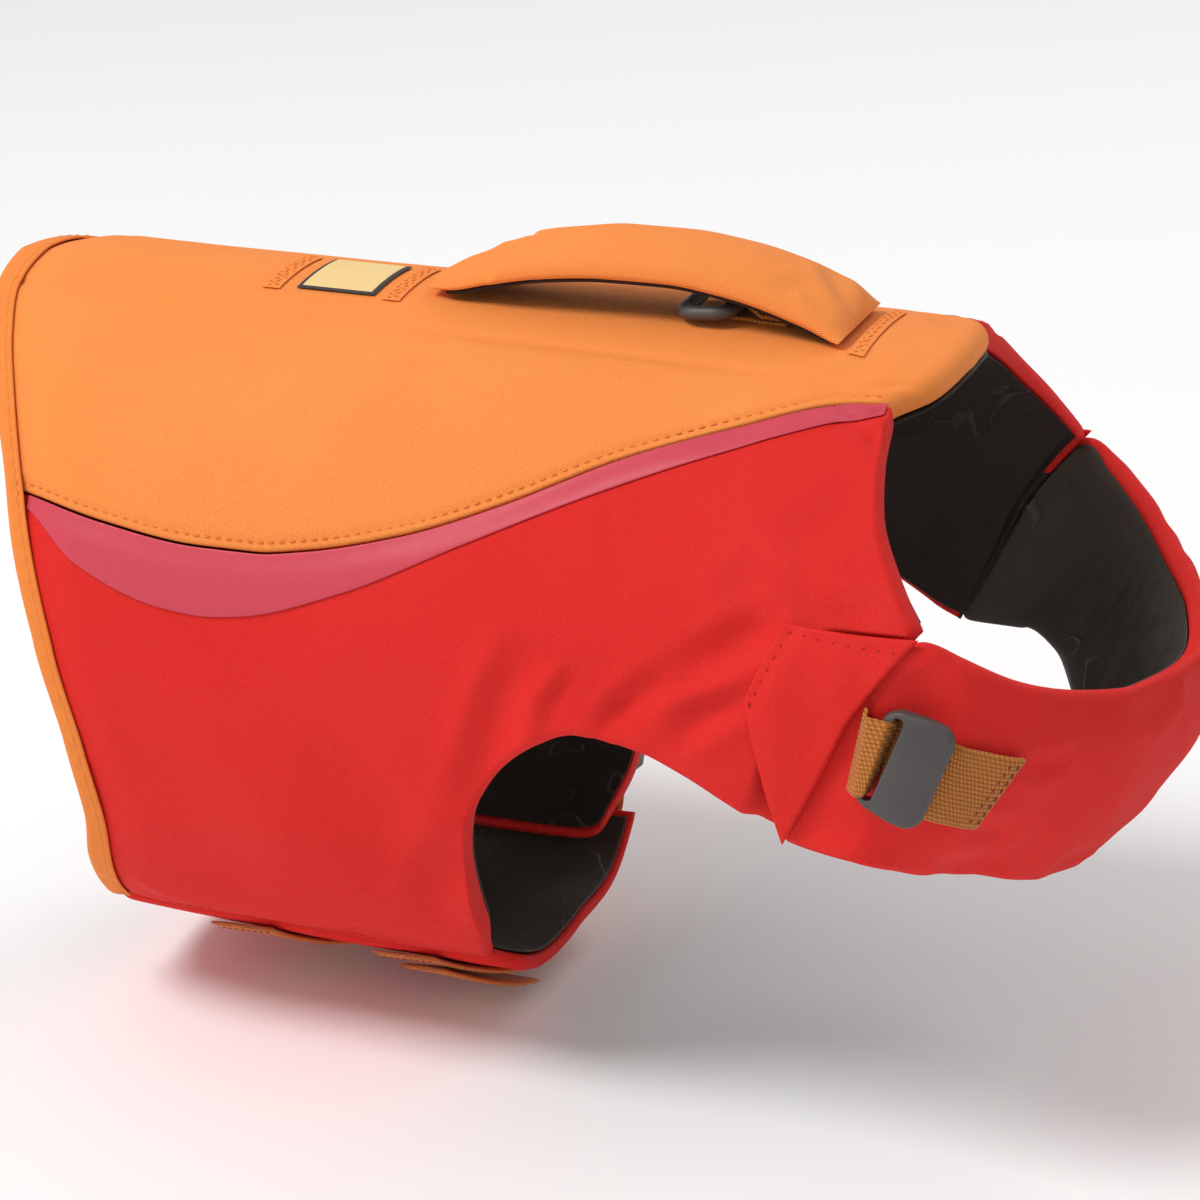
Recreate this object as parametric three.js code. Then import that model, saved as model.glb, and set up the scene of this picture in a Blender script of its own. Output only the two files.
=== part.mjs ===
// Dog life jacket in its worn, hollow form, in millimetres.
// +X points to the dog's head, +Y to its left and +Z up. The origin is on the lining, under the spine.
// A place on the body is (s, phi): s runs forward from near the tail hem, and phi turns down one side,
// 0 at the spine, 90 at the widest line and 180 under the belly. Positive phi is the dog's left.
import * as THREE from 'three';

const ORIGIN_S = 150;
const ROUNDNESS = 2.15;
const SEAM_GAP = 0.3;
const SEAM_EASE = 0.26;
const EDGE_IN_BINDING = 1.8;
const HEM_BLEND = 5.5;
const LINING_OUT = 0.9;
const PANEL_IN = 1.3;
const PANEL_OUT = 9;
const HEM_OUT = 4.6;
const LOWER_EDGE_OUT = 5;
const TAPER_LENGTH = 24;
const BINDING_WALL = 0.9;
const POCKET_FLOOR = 3.8;
const CHEST_END_IN = 4.1;
const CHEST_THICK = 8;
const TAB_THICK = 2.2;
const ACCENT_THICK = 0.8;
const BELLY_THICK = 5;
const BELLY_OVERLAP_OUT = 9.6;
const LOWER_SEAM_PHI = 151;
const BELLY_NEAR = -28.7;
const BELLY_FAR = 38;
const WEBBING_WIDTH = 25;
const WEBBING_THICK = 1.8;
const MM_PER_DEGREE = 1.55;
const SPINE_MM_PER_DEGREE = 1.8;

// Body sections: height of the spine, half width, height of the widest line, height of the belly.
const BODY = [
  { s: -20, top: 0.5, half: 77, middle: -89, bottom: -193 },
  { s: 0, top: 0, half: 80, middle: -90, bottom: -197 },
  { s: 60, top: -0.5, half: 84, middle: -90, bottom: -202 },
  { s: 150, top: 0, half: 87, middle: -87, bottom: -204 },
  { s: 220, top: 1, half: 90, middle: -83, bottom: -202 },
  { s: 260, top: 1, half: 92, middle: -79, bottom: -198 },
  { s: 300, top: 0, half: 92, middle: -76, bottom: -192 },
  { s: 340, top: -5, half: 90, middle: -74, bottom: -183 },
];

// Outer and inner edge of the tail hem's binding.
const HEM = [
  { phi: 0, outer: -12, inner: -1 }, { phi: 15, outer: -8, inner: 1 },
  { phi: 30, outer: 0, inner: 8 }, { phi: 45, outer: 9, inner: 17 },
  { phi: 60, outer: 18, inner: 25 }, { phi: 75, outer: 24, inner: 32 },
  { phi: 90, outer: 31, inner: 39 }, { phi: 106, outer: 39, inner: 47 },
  { phi: 119, outer: 41, inner: 49.5 }, { phi: 134, outer: 36, inner: 46 },
  { phi: 150, outer: 33, inner: 42 },
];

// Seam between the back panel and the side panels, and the lower edge of the accent under it.
const SEAM = [
  { s: -12, phi: 60 }, { s: 29, phi: 63.9 }, { s: 55, phi: 66.9 }, { s: 89, phi: 69 },
  { s: 106, phi: 69 }, { s: 122, phi: 67.8 }, { s: 153, phi: 63.1 }, { s: 183, phi: 55.5 },
  { s: 216, phi: 44.3 }, { s: 249, phi: 34.2 }, { s: 276, phi: 26 }, { s: 291, phi: 24 },
];
const ACCENT_EDGE = [
  { s: 27, phi: 66 }, { s: 31.6, phi: 67.6 }, { s: 49.4, phi: 75.2 }, { s: 77, phi: 80.3 },
  { s: 91, phi: 81 }, { s: 104, phi: 80.3 }, { s: 136, phi: 74.5 }, { s: 173, phi: 63.7 },
  { s: 207, phi: 53.2 }, { s: 240, phi: 42.9 }, { s: 272, phi: 33 }, { s: 290, phi: 27 },
];

// Neck edge of the back panel, from the spine down to the seam.
const BACK_NECK = [
  { phi: 0, s: 304 }, { phi: 8, s: 303 }, { phi: 15.6, s: 300.8 }, { phi: 21.5, s: 296 },
  { phi: 24, s: 293 }, { phi: 30, s: 291 }, { phi: 70, s: 291 },
];

// Side panel: each row joins a point of its upper edge to one of its lower edge, from hem to chest.
// The upper edge follows the seam, with phi from SEAM, and then the neck, with a phi of its own.
// The lower edge follows the belly seam, then the leg opening.
const SIDE_COLUMNS = [
  { topS: 20.6, lowS: 34.6, lowPhi: 151 },
  { topS: 25, lowS: 38.5, lowPhi: 151 },
  { topS: 31, lowS: 43.5, lowPhi: 151 },
  { topS: 41, lowS: 51, lowPhi: 151 },
  { topS: 60, lowS: 64, lowPhi: 151 },
  { topS: 89, lowS: 96, lowPhi: 151 },
  { topS: 115, lowS: 130, lowPhi: 151 },
  { topS: 134, lowS: 157, lowPhi: 151 },
  { topS: 144, lowS: 166.5, lowPhi: 149.5 },
  { topS: 150, lowS: 169, lowPhi: 144 },
  { topS: 156, lowS: 173, lowPhi: 133 },
  { topS: 163, lowS: 173.3, lowPhi: 119 },
  { topS: 171, lowS: 176, lowPhi: 109.4 },
  { topS: 181, lowS: 181, lowPhi: 104 },
  { topS: 193, lowS: 189, lowPhi: 99.2 },
  { topS: 209, lowS: 200, lowPhi: 95.6 },
  { topS: 228, lowS: 212, lowPhi: 93.9 },
  { topS: 247, lowS: 230, lowPhi: 95.2 },
  { topS: 268, lowS: 246, lowPhi: 98.4 },
  { topS: 290.5, lowS: 258, lowPhi: 101.8 },
  { topS: 294, topPhi: 36, lowS: 266, lowPhi: 104.2 },
  { topS: 298.5, topPhi: 49, lowS: 271, lowPhi: 105.6 },
  { topS: 307, topPhi: 61, lowS: 274.4, lowPhi: 106.4 },
  { topS: 315.8, topPhi: 71.2, lowS: 276.8, lowPhi: 107 },
];

// Corners of the tab that covers the chest panel's end, and the chest panel's end under it.
const TAB = {
  rearTop: { s: 276, phi: 72.2 }, frontTop: { s: 317.4, phi: 72.8 },
  rearLow: { s: 265.5, phi: 87 }, frontLow: { s: 277, phi: 107 },
};
const CHEST_EDGE = { top: { s: 316, phi: 75.8 } };
const CHEST_END = { top: { s: 297, phi: 78 }, low: { s: 275.5, phi: 101.5 } };

// Recess for the chest panel's end: its depth behind the tab's edge at its upper and lower end.
const POCKET = { topPhi: 76, topDepth: 19, lowPhi: 102, lowDepth: 8.5, ramp: 6, row: 0.42, rowPhi: 72.5, lipPhi: 74.6 };

// Chest panel's upper and lower edge, from the middle (u 0) to the tab (u 1), on its outer face.
const CHEST = [
  { u: 0, topX: 227, topY: 0, topZ: -77, lowX: 195.5, lowY: 0, lowZ: -152 },
  { u: 0.295, topX: 220, topY: 36.5, topZ: -75.8, lowX: 189, lowY: 41, lowZ: -144.5 },
  { u: 0.54, topX: 207, topY: 62, topZ: -71, lowX: 175, lowY: 72, lowZ: -132.5 },
  { u: 0.74, topX: 193, topY: 82, topZ: -63, lowX: 162, lowY: 94.3, lowZ: -124.6 },
  { u: 0.88, topX: 179, topY: 92.5, topZ: -54.4, lowX: 146, lowY: 102, lowZ: -118.8 },
];
const CHEST_UNDER_TAB = { middle: 1.09, end: 1.17 };
const CHEST_BULGE = { side: 4.5, front: 7.5, axisX: 120 };

// Middle line of the adjusting webbing on the chest panel, from the tab to its sewn end.
const CHEST_STRAP = [
  { u: 0.985, h: 0.555 }, { u: 0.93, h: 0.5 }, { u: 0.873, h: 0.468 }, { u: 0.784, h: 0.482 },
  { u: 0.674, h: 0.48 },
];
const LOOP_START = 0.1;
const LOOP_SKEW = 3.6;
const SLIDER = { at: 0.45, length: 22, width: 33, thick: 5, slotLength: 3.4, slotWidth: 26, rim: 3 };

// Handle along its middle line: height above the back, half width and half thickness.
const HANDLE = [
  { x: -17, z: 12.6, half: 12, thick: 1.5 }, { x: -8, z: 15.8, half: 15, thick: 3.6 },
  { x: 4, z: 20.6, half: 16.5, thick: 4.8 }, { x: 20, z: 25.2, half: 17.5, thick: 5.6 },
  { x: 42, z: 28.2, half: 18, thick: 6 }, { x: 62, z: 28.6, half: 18, thick: 6 },
  { x: 82, z: 26.4, half: 18, thick: 6 }, { x: 100, z: 22, half: 18.5, thick: 5.8 },
  { x: 111, z: 17.6, half: 19.5, thick: 4.8 }, { x: 116.5, z: 13.6, half: 20.5, thick: 3 },
  { x: 118.5, z: 11.9, half: 21, thick: 1.5 },
];
const HANDLE_LINING = { thick: 1, inset: 2 };
const HANDLE_TACKS = [
  { name: 'tack_rear', x: -67, length: 6, half: 17 },
  { name: 'tack_middle', x: -27, length: 6, half: 17 },
  { name: 'tack_front', x: 123.5, length: 5, half: 21 },
];
const TACK_THICK = 0.9;
const LABEL = { rear: -59, front: -33, half: 15, thick: 0.8 };

const RING = { hingeX: 81, hingeZ: 14.6, reach: 15, halfWidth: 14.5, bar: 2.3, corner: 5, lean: 5.5 };
const RING_LOOP = { play: 0.4, width: 17, front: 98, thick: 1.5 };

// Straps under the belly: place at the near seam, place under the middle, and the buckle's place.
const BELLY_STRAPS = [
  { name: 'rear', nearS: 80, midS: 98, tail: false },
  { name: 'front', nearS: 136, midS: 155, tail: true },
];
const STRAP_STRAIGHT_FROM = -8;
const STRAP_END = 45.3;
const BUCKLE = { at: 58, socket: 27, tongue: 21, width: 32, thick: 9, notch: 3.2, neck: 25 };
const ANCHOR = { from: 69.5, to: 86 };
const TAIL = { from: -23, to: -4, drop: 5 };

const FINISHES = {
  backCloth: { color: 0xf39a4f, roughness: 0.8 },
  sideCloth: { color: 0xd8342c, roughness: 0.8 },
  accentCloth: { color: 0xd4606c, roughness: 0.5 },
  bindingTape: { color: 0xe58a38, roughness: 0.75 },
  liningCloth: { color: 0x2c241f, roughness: 0.85 },
  webbing: { color: 0xd78428, roughness: 0.7 },
  moulded: { color: 0x4b4745, roughness: 0.45 },
  patch: { color: 0xd9c9a4, roughness: 0.7 },
};
const materials = Object.fromEntries(Object.entries(FINISHES).map(([key, look]) =>
  [key, () => new THREE.MeshStandardMaterial({ ...look, metalness: 0 })]));

const jacket = new THREE.Group();

function addMesh(name, finish, geometry) {
  const mesh = new THREE.Mesh(geometry, materials[finish]());
  mesh.name = name;
  jacket.add(mesh);
}

const mix = (a, b, t) => a + (b - a) * t;

function smoothStep(low, high, x) {
  const t = Math.min(1, Math.max(0, (x - low) / (high - low)));
  return t * t * (3 - 2 * t);
}

const spaced = (from, to, count) => Array.from({ length: count + 1 }, (_, i) => mix(from, to, i / count));

// Monotone cubic through the points of a table, which never overshoots its rows.
function monotone(xs, ys) {
  const steps = xs.slice(1).map((x, i) => x - xs[i]);
  const rates = steps.map((step, i) => (ys[i + 1] - ys[i]) / step);
  const slopes = xs.map((_, i) => {
    if (i === 0) return rates[0];
    if (i === xs.length - 1) return rates[i - 1];
    if (rates[i - 1] * rates[i] <= 0) return 0;
    const before = 2 * steps[i] + steps[i - 1];
    const after = steps[i] + 2 * steps[i - 1];
    return (before + after) / (before / rates[i - 1] + after / rates[i]);
  });
  return (x) => {
    const last = xs.length - 1;
    if (x <= xs[0]) return ys[0] + slopes[0] * (x - xs[0]);
    if (x >= xs[last]) return ys[last] + slopes[last] * (x - xs[last]);
    const k = xs.findIndex((_, i) => x <= xs[i + 1]);
    const h = steps[k];
    const t = (x - xs[k]) / h;
    const ease = t * t * (3 - 2 * t);
    const bend = t * (1 - t) * ((1 - t) * slopes[k] - t * slopes[k + 1]) * h;
    return mix(ys[k], ys[k + 1], ease) + bend;
  };
}

const column = (rows, across, along) => monotone(rows.map((r) => r[across]), rows.map((r) => r[along]));

const body = {
  top: column(BODY, 's', 'top'),
  half: column(BODY, 's', 'half'),
  middle: column(BODY, 's', 'middle'),
  bottom: column(BODY, 's', 'bottom'),
};
const hemOuter = column(HEM, 'phi', 'outer');
const hemInner = column(HEM, 'phi', 'inner');
const seamPhi = column(SEAM, 's', 'phi');
const accentPhi = column(ACCENT_EDGE, 's', 'phi');
const neckS = column(BACK_NECK, 'phi', 's');

// Point of the body at (s, phi), moved outwards by out along its section's normal.
function onBody(s, phi, out) {
  const angle = THREE.MathUtils.degToRad(phi);
  const c = Math.cos(angle);
  const q = Math.sin(angle);
  const half = body.half(s);
  const middle = body.middle(s);
  const rise = c >= 0 ? body.top(s) - middle : middle - body.bottom(s);
  const power = 2 / ROUNDNESS;
  const y = half * Math.sign(q) * Math.abs(q) ** power;
  const z = middle + rise * Math.sign(c) * Math.abs(c) ** power;
  const ny = Math.sign(q) * Math.abs(q) ** (2 - power) / half;
  const nz = Math.sign(c) * Math.abs(c) ** (2 - power) / rise;
  const n = Math.hypot(ny, nz);
  return new THREE.Vector3(s - ORIGIN_S, y + out * ny / n, z + out * nz / n);
}

// Closed geometry from points and triangles, turned so that its faces point out.
function closedGeometry(points, triangles) {
  let volume = 0;
  const cross = new THREE.Vector3();
  for (const [a, b, c] of triangles) volume += points[a].dot(cross.crossVectors(points[b], points[c]));
  const index = triangles.flatMap(([a, b, c]) => (volume > 0 ? [a, b, c] : [a, c, b]));
  const geometry = new THREE.BufferGeometry();
  geometry.setAttribute('position', new THREE.Float32BufferAttribute(points.flatMap((p) => p.toArray()), 3));
  geometry.setIndex(index);
  geometry.computeVertexNormals();
  return geometry;
}

// Wall between two grids of points: place(u, v, outer) gives each one.
function wall(us, vs, place) {
  const points = [];
  const triangles = [];
  const count = us.length * vs.length;
  for (const outer of [false, true]) {
    for (const u of us) {
      for (const v of vs) points.push(place(u, v, outer));
    }
  }
  const at = (i, j, outer) => (outer ? count : 0) + i * vs.length + j;
  const face = (a, b, c, d) => triangles.push([a, b, c], [a, c, d]);
  for (let i = 0; i + 1 < us.length; i += 1) {
    for (let j = 0; j + 1 < vs.length; j += 1) {
      face(at(i, j, true), at(i + 1, j, true), at(i + 1, j + 1, true), at(i, j + 1, true));
      face(at(i, j, false), at(i, j + 1, false), at(i + 1, j + 1, false), at(i + 1, j, false));
    }
  }
  const lastU = us.length - 1;
  const lastV = vs.length - 1;
  for (let i = 0; i < lastU; i += 1) {
    face(at(i, 0, false), at(i + 1, 0, false), at(i + 1, 0, true), at(i, 0, true));
    face(at(i, lastV, true), at(i + 1, lastV, true), at(i + 1, lastV, false), at(i, lastV, false));
  }
  for (let j = 0; j < lastV; j += 1) {
    face(at(0, j, true), at(0, j + 1, true), at(0, j + 1, false), at(0, j, false));
    face(at(lastU, j, false), at(lastU, j + 1, false), at(lastU, j + 1, true), at(lastU, j, true));
  }
  return closedGeometry(points, triangles);
}

// Body between rings of points, closed by a cap at each end or joined into a loop.
function loft(rings, looped, capShape) {
  const points = rings.flat();
  const size = rings[0].length;
  const triangles = [];
  const last = looped ? rings.length : rings.length - 1;
  for (let i = 0; i < last; i += 1) {
    const here = i * size;
    const next = ((i + 1) % rings.length) * size;
    for (let j = 0; j < size; j += 1) {
      const k = (j + 1) % size;
      triangles.push([here + j, next + j, next + k], [here + j, next + k, here + k]);
    }
  }
  if (!looped) {
    const flat = capShape ?? rings[0].map((_, j) => {
      const angle = j / size * 2 * Math.PI;
      return new THREE.Vector2(Math.cos(angle), Math.sin(angle));
    });
    const turn = THREE.ShapeUtils.isClockWise(flat) ? -1 : 1;
    const shift = (rings.length - 1) * size;
    for (const [a, b, c] of THREE.ShapeUtils.triangulateShape(flat, [])) {
      const [p, q, r] = turn > 0 ? [a, b, c] : [a, c, b];
      triangles.push([p, q, r], [shift + p, shift + r, shift + q]);
    }
  }
  return closedGeometry(points, triangles);
}

// Padded panels thin out towards the hem and towards the belly seam.
function panelOut(s, phi) {
  const side = Math.abs(phi);
  const fromHem = mix(HEM_OUT, PANEL_OUT, smoothStep(0, TAPER_LENGTH, s - hemOuter(Math.min(side, 150))));
  return mix(fromHem, Math.min(fromHem, LOWER_EDGE_OUT), smoothStep(136, LOWER_SEAM_PHI, side));
}

// The side panel is bare of padding where the chest panel's end slides under the tab.
function sideOut(s, phi) {
  const run = TAB.frontLow.s - TAB.frontTop.s;
  const fall = (TAB.frontLow.phi - TAB.frontTop.phi) * MM_PER_DEGREE;
  const along = s - TAB.frontTop.s;
  const down = (phi - TAB.frontTop.phi) * MM_PER_DEGREE;
  const behind = (down * run - along * fall) / Math.hypot(run, fall);
  const share = (phi - POCKET.topPhi) / (POCKET.lowPhi - POCKET.topPhi);
  const depth = mix(POCKET.topDepth, POCKET.lowDepth, Math.min(1, Math.max(0, share)));
  const inside = 1 - smoothStep(depth, depth + POCKET.ramp, behind);
  const pocket = inside * smoothStep(POCKET.rowPhi, POCKET.lipPhi, phi);
  return mix(panelOut(s, phi), POCKET_FLOOR, pocket);
}

const seamRows = SIDE_COLUMNS.filter((row) => row.topPhi === undefined).map((row) => row.topS);
const seamStart = seamRows[0];
const seamEnd = seamRows.at(-1);
const everySecond = (list) => list.filter((_, i) => i % 2 === 0 || i === list.length - 1);

// Back panel: u runs along the seam from hem to neck, v across from right seam to left seam.
function backPlace(u, v) {
  const share = Math.abs(v);
  const seamEdge = (s) => seamPhi(s) - SEAM_EASE / MM_PER_DEGREE;
  const hemS = hemOuter(share * seamEdge(seamStart)) + EDGE_IN_BINDING;
  const frontS = mix(neckS(share * seamEdge(seamEnd)), seamEnd, share ** 6);
  const s = mix(mix(hemS, seamStart, share ** 6), frontS, u);
  return { s, phi: v * seamEdge(mix(seamStart, seamEnd, u)) };
}

function addBack() {
  const rows = seamRows.map((s) => (s - seamStart) / (seamEnd - seamStart));
  const addLayer = (name, finish, us, vs, inner, outer) =>
    addMesh(name, finish, wall(us, vs, (u, v, isOuter) => {
      const { s, phi } = backPlace(u, v);
      return onBody(s, phi, isOuter ? outer(s, phi) : inner);
    }));
  addLayer('back_panel', 'backCloth', rows, spaced(-1, 1, 16), PANEL_IN, panelOut);
  addLayer('lining_back', 'liningCloth', everySecond(rows), spaced(-1, 1, 16), 0, () => LINING_OUT);
}

const rowNumbers = SIDE_COLUMNS.map((_, i) => i);
const sideTopS = monotone(rowNumbers, SIDE_COLUMNS.map((row) => row.topS));
const sideTopPhi = monotone(rowNumbers, SIDE_COLUMNS.map((row) => row.topPhi ?? seamPhi(row.topS)));
const sideLowS = monotone(rowNumbers, SIDE_COLUMNS.map((row) => row.lowS));
const sideLowPhi = monotone(rowNumbers, SIDE_COLUMNS.map((row) => row.lowPhi));

// Place on the side panel: t counts its columns from the hem, h runs down each of them.
function sidePlace(t, h) {
  const fade = Math.max(0, 1 - t / HEM_BLEND) ** 2;
  const hemPhi = mix(sideTopPhi(0), sideLowPhi(0), h);
  const hemLine = mix(sideTopS(0), sideLowS(0), h);
  const bow = (hemOuter(Math.min(hemPhi, 150)) + EDGE_IN_BINDING - hemLine) * smoothStep(0, 0.1, h);
  const gap = (1 - h) * SEAM_EASE / MM_PER_DEGREE;
  const plain = mix(sideTopPhi(t), sideLowPhi(t), POCKET.row);
  const bend = mix(plain, POCKET.rowPhi, smoothStep(14, 18, t));
  const upper = mix(sideTopPhi(t), bend, h / POCKET.row);
  const lower = mix(bend, sideLowPhi(t), (h - POCKET.row) / (1 - POCKET.row));
  const phi = h < POCKET.row ? upper : lower;
  const across = (phi - sideTopPhi(t)) / (sideLowPhi(t) - sideTopPhi(t));
  return { s: mix(sideTopS(t), sideLowS(t), across) + bow * fade, phi: phi + gap };
}

function addSide(name, side) {
  const addLayer = (layer, finish, ts, hs, inner, outer) =>
    addMesh(`${layer}_${name}`, finish, wall(ts, hs, (t, h, isOuter) => {
      const { s, phi } = sidePlace(t, h);
      return onBody(s, side * phi, isOuter ? outer(s, phi) : inner);
    }));
  const seamCount = seamRows.length;
  const linedColumns = [...everySecond(rowNumbers.slice(0, seamCount)), seamCount + 1, rowNumbers.length - 1];
  const down = [...spaced(0, POCKET.row, 6), 0.46, ...spaced(0.55, 1, 5)];
  addLayer('side_panel', 'sideCloth', rowNumbers, down, PANEL_IN, sideOut);
  addLayer('lining', 'liningCloth', linedColumns, spaced(0, 1, 12), 0, () => LINING_OUT);
  const rear = hemInner(65) + 0.6;
  addMesh(`accent_${name}`, 'accentCloth', wall(spaced(rear, 290, 22), spaced(0, 1, 2), (s, h, outer) => {
    const phi = mix(seamPhi(s) + SEAM_GAP, accentPhi(s), h);
    const base = sideOut(s, phi) + SEAM_GAP + 0.1;
    return onBody(s, side * phi, outer ? base + ACCENT_THICK : base);
  }));
}

// Binding folded round the edge of the tail hem.
function addBinding() {
  const end = 149.5;
  const section = (phi) => {
    const side = Math.abs(phi);
    const outer = hemOuter(side);
    const inner = hemInner(side);
    const middle = (outer + inner) / 2 + 1;
    const over = (s) => panelOut(s, side) + SEAM_GAP + 0.15;
    return [
      [inner, over(inner)], [inner, over(inner) + BINDING_WALL], [middle, over(middle) + BINDING_WALL],
      [outer + 1, HEM_OUT + 1.3], [outer + 0.1, HEM_OUT + 0.3], [outer, 1.8], [outer + 0.4, -1],
      [outer + 1.4, -1.5], [inner, -1.5], [inner, -0.6], [outer + 1.1, -0.6],
      [outer + 1.1, HEM_OUT + 0.4], [middle, over(middle)],
    ];
  };
  const stations = spaced(-end, end, 36);
  const rings = stations.map((phi) => section(phi).map(([s, out]) => onBody(s, phi, out)));
  const cap = section(end).map(([s, out]) => new THREE.Vector2(s, out));
  addMesh('hem_binding', 'bindingTape', loft(rings, false, cap));
}

const chestKnots = CHEST.map((row) => row.u);

// Curve along the chest panel's outer face at share h of its height, as a function of u.
function chestRow(h) {
  const points = CHEST.map((row) => {
    const point = new THREE.Vector3(
      mix(row.topX, row.lowX, h), mix(row.topY, row.lowY, h), mix(row.topZ, row.lowZ, h));
    const outwards = new THREE.Vector3(point.x - CHEST_BULGE.axisX, point.y * 0.9, 0).normalize();
    const skew = mix(0.8, 1, row.u);
    const bulge = CHEST_BULGE.side + CHEST_BULGE.front * (1 - row.u * row.u);
    return point.addScaledVector(outwards, bulge * Math.sin(Math.PI * h ** skew));
  });
  const edge = { s: mix(CHEST_EDGE.top.s, TAB.frontLow.s, h), phi: mix(CHEST_EDGE.top.phi, TAB.frontLow.phi, h) };
  const end = { s: mix(CHEST_END.top.s, CHEST_END.low.s, h), phi: mix(CHEST_END.top.phi, CHEST_END.low.phi, h) };
  points.push(onBody(edge.s, edge.phi, PANEL_OUT));
  points.push(onBody((edge.s + end.s) / 2, (edge.phi + end.phi) / 2, PANEL_OUT));
  points.push(onBody(end.s, end.phi, PANEL_OUT));
  const knots = [...chestKnots, 1, CHEST_UNDER_TAB.middle, CHEST_UNDER_TAB.end];
  const allKnots = [...knots.slice(1).map((u) => -u).reverse(), ...knots];
  const mirrored = points.slice(1).map((p) => new THREE.Vector3(p.x, -p.y, p.z)).reverse();
  const all = [...mirrored, ...points];
  const curves = ['x', 'y', 'z'].map((axis) => monotone(allKnots, all.map((p) => p[axis])));
  return (u) => new THREE.Vector3(...curves.map((curve) => curve(u)));
}

// Point on the chest panel moved outwards by out along its normal.
function onChest(u, h, out) {
  const step = 0.01;
  const side = h > 0.5 ? -1 : 1;
  const point = chestRow(h)(u);
  const ahead = chestRow(h)(u + step).sub(point);
  const below = chestRow(h + side * step)(u).sub(point).multiplyScalar(side);
  const normal = ahead.cross(below).normalize();
  if (normal.dot(new THREE.Vector3(point.x - CHEST_BULGE.axisX, point.y, 0)) < 0) normal.negate();
  return point.addScaledVector(normal, out);
}

function addChest() {
  const end = CHEST_UNDER_TAB.end;
  const half = [end, 1.09, 1, 0.96, 0.88, 0.79, 0.69, 0.58, 0.46, 0.34, 0.22, 0.11];
  const along = [...half.map((u) => -u), 0, ...half.slice().reverse()];
  const down = [0, 0.04, 0.12, 0.22, 0.34, 0.47, 0.6, 0.73, 0.85, 0.95, 1];
  const thick = (u) => mix(CHEST_THICK, PANEL_OUT - CHEST_END_IN, smoothStep(0.86, 0.98, Math.abs(u)));
  addMesh('chest_panel', 'sideCloth', wall(along, down, (u, h, outer) =>
    onChest(u, h, outer ? 0 : -thick(u))));
  const lined = along.filter((u) => Math.abs(u) < 0.97);
  addMesh('lining_chest', 'liningCloth', wall(lined, everySecond(down), (u, h, outer) =>
    onChest(u, mix(0.012, 0.988, h), -thick(u) - 2 * SEAM_GAP - (outer ? 0 : LINING_OUT))));
}

function addTab(name, side) {
  const place = (a, b) => ({
    s: mix(mix(TAB.rearTop.s, TAB.frontTop.s, a), mix(TAB.rearLow.s, TAB.frontLow.s, a), b),
    phi: mix(mix(TAB.rearTop.phi, TAB.frontTop.phi, a), mix(TAB.rearLow.phi, TAB.frontLow.phi, a), b),
  });
  const base = PANEL_OUT + SEAM_GAP;
  addMesh(`chest_tab_${name}`, 'sideCloth', wall(spaced(0, 1, 8), spaced(0, 1, 6), (a, b, outer) => {
    const { s, phi } = place(a, b);
    return onBody(s, side * phi, outer ? base + TAB_THICK : base);
  }));
}

// Share of the chest strap's length turned into a frame: point, direction, width and normal.
function strapFrame(t, side) {
  const knots = CHEST_STRAP.map((_, i) => i / (CHEST_STRAP.length - 1));
  const pathU = monotone(knots, CHEST_STRAP.map((row) => row.u));
  const pathH = monotone(knots, CHEST_STRAP.map((row) => row.h));
  const at = (k, out) => onChest(side * pathU(k), pathH(k), out);
  const point = at(t, 0);
  const normal = at(t, 1).sub(point).normalize();
  const along = at(t + 0.02, 0).sub(at(t - 0.02, 0)).normalize();
  const across = new THREE.Vector3().crossVectors(along, normal).normalize();
  if (across.z < 0) across.negate();
  return { point, along, across, normal };
}

// Flat band through frames: half its width to each side, from lift to lift + thick.
function band(frames, halfWidth, lift, thick, skew = () => 0) {
  const rings = frames.map((frame, i) => {
    const corner = (w, out) => frame.point.clone()
      .addScaledVector(frame.across, w)
      .addScaledVector(frame.along, skew(i) * w / halfWidth)
      .addScaledVector(frame.normal, out);
    const low = typeof lift === 'function' ? lift(i) : lift;
    return [corner(-halfWidth, low), corner(halfWidth, low),
      corner(halfWidth, low + thick), corner(-halfWidth, low + thick)];
  });
  return loft(rings, false);
}

function roundedRectangle(path, x0, y0, x1, y1, r) {
  path.moveTo(x0 + r, y0);
  path.lineTo(x1 - r, y0);
  path.absarc(x1 - r, y0 + r, r, -Math.PI / 2, 0, false);
  path.lineTo(x1, y1 - r);
  path.absarc(x1 - r, y1 - r, r, 0, Math.PI / 2, false);
  path.lineTo(x0 + r, y1);
  path.absarc(x0 + r, y1 - r, r, Math.PI / 2, Math.PI, false);
  path.lineTo(x0, y0 + r);
  path.absarc(x0 + r, y0 + r, r, Math.PI, Math.PI * 1.5, false);
  return path;
}

// Plate with round corners and round-cornered holes, laid in a frame.
function plate(frame, length, width, thick, lift, corner, holes, outline) {
  const shape = outline
    ? new THREE.Shape(outline.map(([x, y]) => new THREE.Vector2(x, y)))
    : roundedRectangle(new THREE.Shape(), -length / 2, -width / 2, length / 2, width / 2, corner);
  for (const [x0, x1, half] of holes) shape.holes.push(roundedRectangle(new THREE.Path(), x0, -half, x1, half, 1));
  const geometry = new THREE.ExtrudeGeometry(shape, { depth: thick, bevelEnabled: false, curveSegments: 4 });
  geometry.translate(0, 0, lift);
  const across = new THREE.Vector3().crossVectors(frame.normal, frame.along).normalize();
  const matrix = new THREE.Matrix4().makeBasis(frame.along, across, frame.normal).setPosition(frame.point);
  return geometry.applyMatrix4(matrix);
}

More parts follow.
